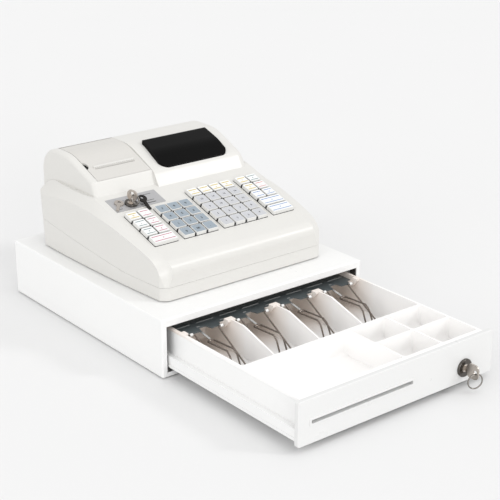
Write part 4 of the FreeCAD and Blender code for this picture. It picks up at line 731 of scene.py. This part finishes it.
def function_piece(name, node, middle, span, colour, mark):
    """White function key with two coloured bars and a plain sign."""
    colours, sizes = looks().key_colours, looks().keyboard
    ready = bpy.data.materials
    skirt = ready["cap_skirt"]
    top = ready.get("function_top") or key_plastic("function_top", colours.paper)
    bar = ready.get("bar_" + colour) or ink_finish("bar_" + colour, getattr(colours, colour))
    foot_shade_and_stem = ready["cap_foot"]
    depth = sizes.wide_bar if colour == "yellow" else sizes.bar
    key_piece(name, node, [(middle, span, depth, mark, sizes.function_mark)],
              [skirt, top, bar, bar, foot_shade_and_stem])


class REGISTER_OT_function_keys(bpy.types.Operator):
    """Function keys of the left and right blocks with their coloured bars."""

    bl_idname = "register_looks.function_keys"
    bl_label = "Function keys"

    def execute(self, context):
        blocks = key_blocks()
        for name, node, block, row, colour, mark in WIDE_KEYS:
            function_piece(name, node, key_middle(blocks[block], 0, row, 2), 2, colour, mark)
        for side, block, column, rows in FUNCTION_COLUMNS:
            for row, colour, mark in rows:
                function_piece("%s_key_%d_%d" % (side, column, row),
                               "keys_%s_column_%d" % (side, column),
                               key_middle(blocks[block], column - 1, row), 1, colour, mark)
        return {"FINISHED"}


# Housing


class REGISTER_OT_housing(bpy.types.Operator):
    """Finishes of the register's moulded base, cover and lid, and of its dark plastic."""

    bl_idname = "register_looks.housing"
    bl_label = "Housing"

    def execute(self, context):
        colours = looks().housing
        cover = moulded_plastic("housing_plastic", colours.cover, roughness=0.3)
        paint(cover, "register_base", "register_cover")
        lid = moulded_plastic("lid_plastic", colours.lid, roughness=0.46)
        paint(lid, "printer_lid")
        dark = moulded_plastic("dark_plastic", colours.bed, roughness=0.5)
        paint(dark, "key_bed", "printer_mechanism", "rear_sockets")
        tear = moulded_plastic("tear_plastic", colours.cover, roughness=0.4)
        paint(tear, "tear_bar")
        return {"FINISHED"}


class REGISTER_OT_windows(bpy.types.Operator):
    """Smoked display windows, boards, paper roll, platen roller and rubber feet."""

    bl_idname = "register_looks.windows"
    bl_label = "Windows and inner parts"

    def execute(self, context):
        smoke, colours = looks().housing.window, looks().inner
        glass = Finish("smoked_window", smoke, roughness=0.09, Specular_IOR_Level=0.08)
        glass.clouds(scale=9.0, detail=2.0, most=0.6, other=darker(smoke, 2.2))
        glass.rough(glass.noise(scale=40.0, detail=5.0), low=0.06, high=0.15)
        paint(glass, "display_windows")
        board = Finish("board_lacquer", colours.board, roughness=0.35)
        tracks = board.spread(board.noise(scale=220.0, detail=0.0), low=0.0, high=0.8,
                              from_low=0.45, from_high=0.55)
        board.tint(tracks, colours.tracks)
        paint(board, "circuit_boards")
        paper = Finish("paper", colours.paper, roughness=0.75)
        paper.bump(paper.noise(scale=900.0, detail=3.0), depth=0.00005, strength=0.5)
        paper.clouds(scale=700.0, detail=2.0, most=0.4, other=colours.fibre)
        paint(paper, "paper_roll")
        rubber = moulded_plastic("rubber", looks().cabinet.rubber, roughness=0.7, grain=0.00006)
        paint(rubber, "platen_roller", "rubber_feet")
        return {"FINISHED"}


# Printed fields in the deck's plane, in millimetres: place across, place up, width and depth

PLATE_FIELDS = (
    (-66.0, 134.2, 24.0, 1.3),
    (-60.0, 139.5, 12.0, 0.9),
    (-112.0, 134.5, 9.0, 0.9),
    (-60.0, 153.5, 18.0, 0.9),
)
PRINT_LOW = 0.16 * MM
PRINT_HIGH = 0.24 * MM
LOCK_MIDDLE = (-90.4 * MM, 141.0 * MM, 0.0)
TICK_TURNS = (30.0, 60.0, 90.0, 120.0, 150.0)
TICK_NEAR = 10.6 * MM
TICK_FAR = 12.8 * MM
TICK_HALF = 0.3 * MM


class REGISTER_OT_label(bpy.types.Operator):
    """Silver plate round the mode lock with plain printed ticks and fields."""

    bl_idname = "register_looks.label"
    bl_label = "Label plate"

    def execute(self, context):
        colours = looks().housing
        metal = Finish("label_silver", colours.plate, roughness=0.42, metallic=0.55)
        streaks = metal.noise(scale=170.0, detail=4.0, stretch=(1.0, 12.0, 12.0))
        metal.tint(metal.spread(streaks, low=0.0, high=0.5), darker(colours.plate, 0.84))
        metal.rough(streaks, low=0.36, high=0.52)
        paint(metal, "label_plate")
        bm = bmesh.new()
        for x, y, wide, deep in PLATE_FIELDS:
            add_box(bm, ((x - wide / 2) * MM, (y - deep / 2) * MM, PRINT_LOW),
                    ((x + wide / 2) * MM, (y + deep / 2) * MM, PRINT_HIGH))
        for degrees in TICK_TURNS:
            turn = Matrix.Rotation(math.radians(degrees) - math.pi / 2, 3, "Z")
            tick = add_box(bm, (-TICK_HALF, TICK_NEAR, PRINT_LOW), (TICK_HALF, TICK_FAR, PRINT_HIGH))
            bmesh.ops.rotate(bm, cent=ORIGIN, matrix=turn, verts=tick)
            bmesh.ops.translate(bm, vec=LOCK_MIDDLE, verts=tick)
        bmesh.ops.transform(bm, matrix=deck_matrix(), verts=bm.verts)
        print_marks = finished_object("plate_print", bm, [ink_finish("plate_ink", colours.plate_ink)])
        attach(print_marks, "housing")
        return {"FINISHED"}


# Locks and keys: the places between which the spare keys turn dark, and the ways of the streaks

SPARE_DARK_X = (-91.0 * MM, -90.0 * MM)
ALL_WAYS = (1.0, 1.0, 1.0)
UPRIGHT = (6.0, 6.0, 1.0)


class REGISTER_OT_locks(bpy.types.Operator):
    """Plated locks, keys and split rings."""

    bl_idname = "register_looks.locks"
    bl_label = "Locks and keys"

    def execute(self, context):
        colours = looks().metal
        lock = brushed_metal("lock_plating", colours.lock, roughness=0.2, stretch=ALL_WAYS,
                             scale=1200.0)
        paint(lock, "mode_lock", "drawer_lock")
        key = brushed_metal("key_nickel", colours.nickel, roughness=0.34, stretch=UPRIGHT,
                            scale=700.0)
        paint(key, "drawer_key", "mode_key")
        spare = brushed_metal("spare_key_metal", colours.nickel, roughness=0.34, stretch=UPRIGHT,
                              scale=700.0)
        # The spare keys turn darker past the mode lock's middle along X
        dark = spare.spread(spare.along("X"), 0.0, 1.0, *SPARE_DARK_X)
        spare.tint(dark, colours.spare_dark)
        paint(spare, "spare_keys")
        ring = brushed_metal("ring_chrome", colours.ring, roughness=0.16, stretch=ALL_WAYS,
                             scale=400.0)
        paint(ring, "mode_key_ring", "drawer_key_ring")
        return {"FINISHED"}


# Cabinet and drawer: share of the enamel's colour on the drawer's front, which is painted shade, and
# the places in metres where a colour changes as painted shade or painted highlight, as boxes from
# corner to corner or as stretches along an axis

FRONT_PAINTED_SHADE = 0.86
# Box inside the cabinet that is painted dark as shade
CABINET_INSIDE_SHADE = ((-0.1662, -0.1825, 0.0032), (0.1662, 0.1825, 0.0788))
# Box round the hinge tabs, painted near white: their bright metal and a painted highlight
RAIL_TAB_GLINT = ((-0.2, -0.21, 0.05), (0.2, -0.1987, 0.065))
# Stretch along Y over which the warm painted shade of the note bays' rear grows
TRAY_REAR_SHADE_Y = (-0.235, -0.195)
# Heights over which the rail's embossed dashes get their painted highlight
DASH_HIGHLIGHT_Z = (57.05 * MM, 57.15 * MM)
CLIP_COUNT = 4


class REGISTER_OT_cabinet(bpy.types.Operator):
    """Powder coat of the cabinet and the drawer, and the plated steel and nylon inside."""

    bl_idname = "register_looks.cabinet"
    bl_label = "Cabinet and drawer"

    def execute(self, context):
        colours = looks().cabinet
        paint(powder_coat("white_enamel", colours.enamel), "cabinet_base_plate", "drawer_pan")
        # The drawer's front gets a greyer copy of the same white enamel: painted shade
        paint(powder_coat("front_enamel", darker(colours.enamel, FRONT_PAINTED_SHADE)), "drawer_front")
        shell = powder_coat("cabinet_enamel", colours.enamel)
        # The white enamel inside the cabinet turns dark: painted shade in the gap round the drawer
        shell.tint(shell.inside(*CABINET_INSIDE_SHADE), colours.inside)
        paint(shell, "cabinet_shell")
        zinc = brushed_metal("zinc_plate", looks().metal.zinc, roughness=0.36)
        paint(zinc, "cabinet_rails", "screws", "latch_solenoid", "latch_lever")
        nylon = moulded_plastic("nylon", colours.nylon, roughness=0.5)
        paint(nylon, "cabinet_rollers", "drawer_rollers")
        return {"FINISHED"}


class REGISTER_OT_tray(bpy.types.Operator):
    """Till tray, clip rail, wire clips and leaf springs."""

    bl_idname = "register_looks.tray"
    bl_label = "Tray and clips"

    def execute(self, context):
        colours = looks().cabinet
        tray = moulded_plastic("tray_plastic", colours.tray, roughness=0.4)
        # Warm painted shade grows over the rear of the note bays, under the clip rail
        tray.tint(tray.spread(tray.along("Y"), 0.0, 0.8, *TRAY_REAR_SHADE_Y), colours.tray_rear_shade)
        paint(tray, "till_tray")
        rail = Finish("rail_enamel", colours.rail, roughness=0.3, Coat_Weight=0.3,
                      Coat_Roughness=0.15)
        rail.clouds(scale=30.0, detail=4.0, most=0.5, other=darker(colours.rail, 1.7))
        # Painted highlight on the embossed dashes that stand above the rail's top
        rail.tint(rail.spread(rail.along("Z"), 0.0, 0.5, *DASH_HIGHLIGHT_Z), colours.dashes)
        # Hinge tabs painted near white: their own bright metal and a painted highlight of its glint
        rail.tint(rail.inside(*RAIL_TAB_GLINT), colours.tabs)
        rail.bump(rail.noise(scale=500.0, detail=2.0), depth=0.00004, strength=0.4)
        paint(rail, "clip_rail")
        spring = brushed_metal("spring_steel", looks().metal.spring, roughness=0.26,
                               stretch=(12.0, 1.0, 12.0))
        paint(spring, "clip_springs")
        wire = brushed_metal("clip_wire", colours.wire, roughness=0.2, stretch=(10.0, 1.0, 10.0))
        paint(wire, *["bill_clip_%d" % (index + 1) for index in range(CLIP_COUNT)])
        return {"FINISHED"}


# Stage; each light has a name, the side it comes from, a strength and a spread in degrees

LIGHTS = (
    ("front_light", (-0.5, -2.0, 0.55), 0.6, 24.0),
    ("nose_light", (1.17, -1.2, 1.1), 0.5, 9.0),
    ("side_light", (-2.0, -0.3, 0.9), 0.55, 40.0),
    ("top_light", (0.3, -0.4, 2.0), 0.36, 30.0),
)
FLOOR_SIDES = 96
SENSOR_WIDTH = 36.0


def soft_sun(name, source, strength, spread):
    """Even light over the whole stage from one direction, with soft shadows."""
    data = bpy.data.lights.new(name, "SUN")
    data.energy = strength
    data.angle = math.radians(spread)
    made = bpy.data.objects.new(name, data)
    made.location = source
    made.rotation_mode = "QUATERNION"
    made.rotation_quaternion = (-Vector(source)).to_track_quat("-Z", "Y")
    bpy.context.scene.collection.objects.link(made)


def soft_world(strength):
    """Even white light from all round."""
    world = bpy.data.worlds.new("soft_studio")
    world.use_nodes = True
    background = world.node_tree.nodes["Background"]
    background.inputs["Color"].default_value = (1.0, 1.0, 1.0, 1.0)
    background.inputs["Strength"].default_value = strength
    bpy.context.scene.world = world


def photo_camera(settings):
    """Camera at the photograph's viewing angle."""
    camera = bpy.data.objects.new("photo_camera", bpy.data.cameras.new("photo_camera"))
    camera.data.lens = settings.lens
    camera.data.sensor_width = SENSOR_WIDTH
    camera.location = settings.camera_place
    camera.rotation_mode = "QUATERNION"
    aim = Vector(settings.camera_target) - Vector(settings.camera_place)
    camera.rotation_quaternion = aim.to_track_quat("-Z", "Y")
    bpy.context.scene.collection.objects.link(camera)
    bpy.context.scene.camera = camera


class REGISTER_OT_stage(bpy.types.Operator):
    """Pale floor, soft lights and the camera at the photograph's angle."""

    bl_idname = "register_looks.stage"
    bl_label = "Stage"

    def execute(self, context):
        settings = looks().stage
        bm = bmesh.new()
        bmesh.ops.create_circle(bm, cap_ends=True, cap_tris=False, segments=FLOOR_SIDES,
                                radius=settings.floor_radius)
        floor_finish = Finish("floor_paper", settings.floor_colour, roughness=0.7)
        floor_finish.rough(floor_finish.noise(scale=3.0, detail=2.0), low=0.66, high=0.74)
        floor = finished_object("floor", bm, [floor_finish.material])
        soft_world(settings.sky)
        for light in LIGHTS:
            soft_sun(*light)
        photo_camera(settings)
        context.scene.view_settings.view_transform = "Standard"
        return {"FINISHED"}


class REGISTER_PT_looks(bpy.types.Panel):
    """Panel in the sidebar that lists the settings and the steps."""

    bl_idname = "REGISTER_PT_looks"
    bl_label = "Cash register"
    bl_space_type = "VIEW_3D"
    bl_region_type = "UI"
    bl_category = "Register"

    def draw(self, context):
        for group_name in RegisterLooks.__annotations__:
            group = getattr(looks(), group_name)
            box = self.layout.box()
            for setting in type(group).__annotations__:
                box.prop(group, setting)
        for operator in OPERATORS:
            self.layout.operator(operator.bl_idname, text=operator.bl_label)


GROUPS = (HousingColours, InnerColours, CabinetColours, MetalColours, KeyColours, KeyboardSizes,
          StageSettings, RegisterLooks)
OPERATORS = (REGISTER_OT_cabinet, REGISTER_OT_tray, REGISTER_OT_housing, REGISTER_OT_windows,
             REGISTER_OT_label, REGISTER_OT_locks, REGISTER_OT_key_gap_shade, REGISTER_OT_digit_keys,
             REGISTER_OT_grid_keys, REGISTER_OT_function_keys, REGISTER_OT_stage)
CLASSES = GROUPS + OPERATORS + (REGISTER_PT_looks,)


def register():
    """Register the classes and the settings."""
    for made in CLASSES:
        bpy.utils.register_class(made)
    bpy.types.Scene.register_looks = group_property("Register looks",
                                                    "Settings of the cash register", RegisterLooks)


def unregister():
    """Remove the classes and the settings."""
    del bpy.types.Scene.register_looks
    for made in reversed(CLASSES):
        bpy.utils.unregister_class(made)


def main():
    """Build every piece in order."""
    register()
    for operator in OPERATORS:
        group, name = operator.bl_idname.split(".")
        getattr(getattr(bpy.ops, group), name)()


if __name__ == "__main__":
    main()
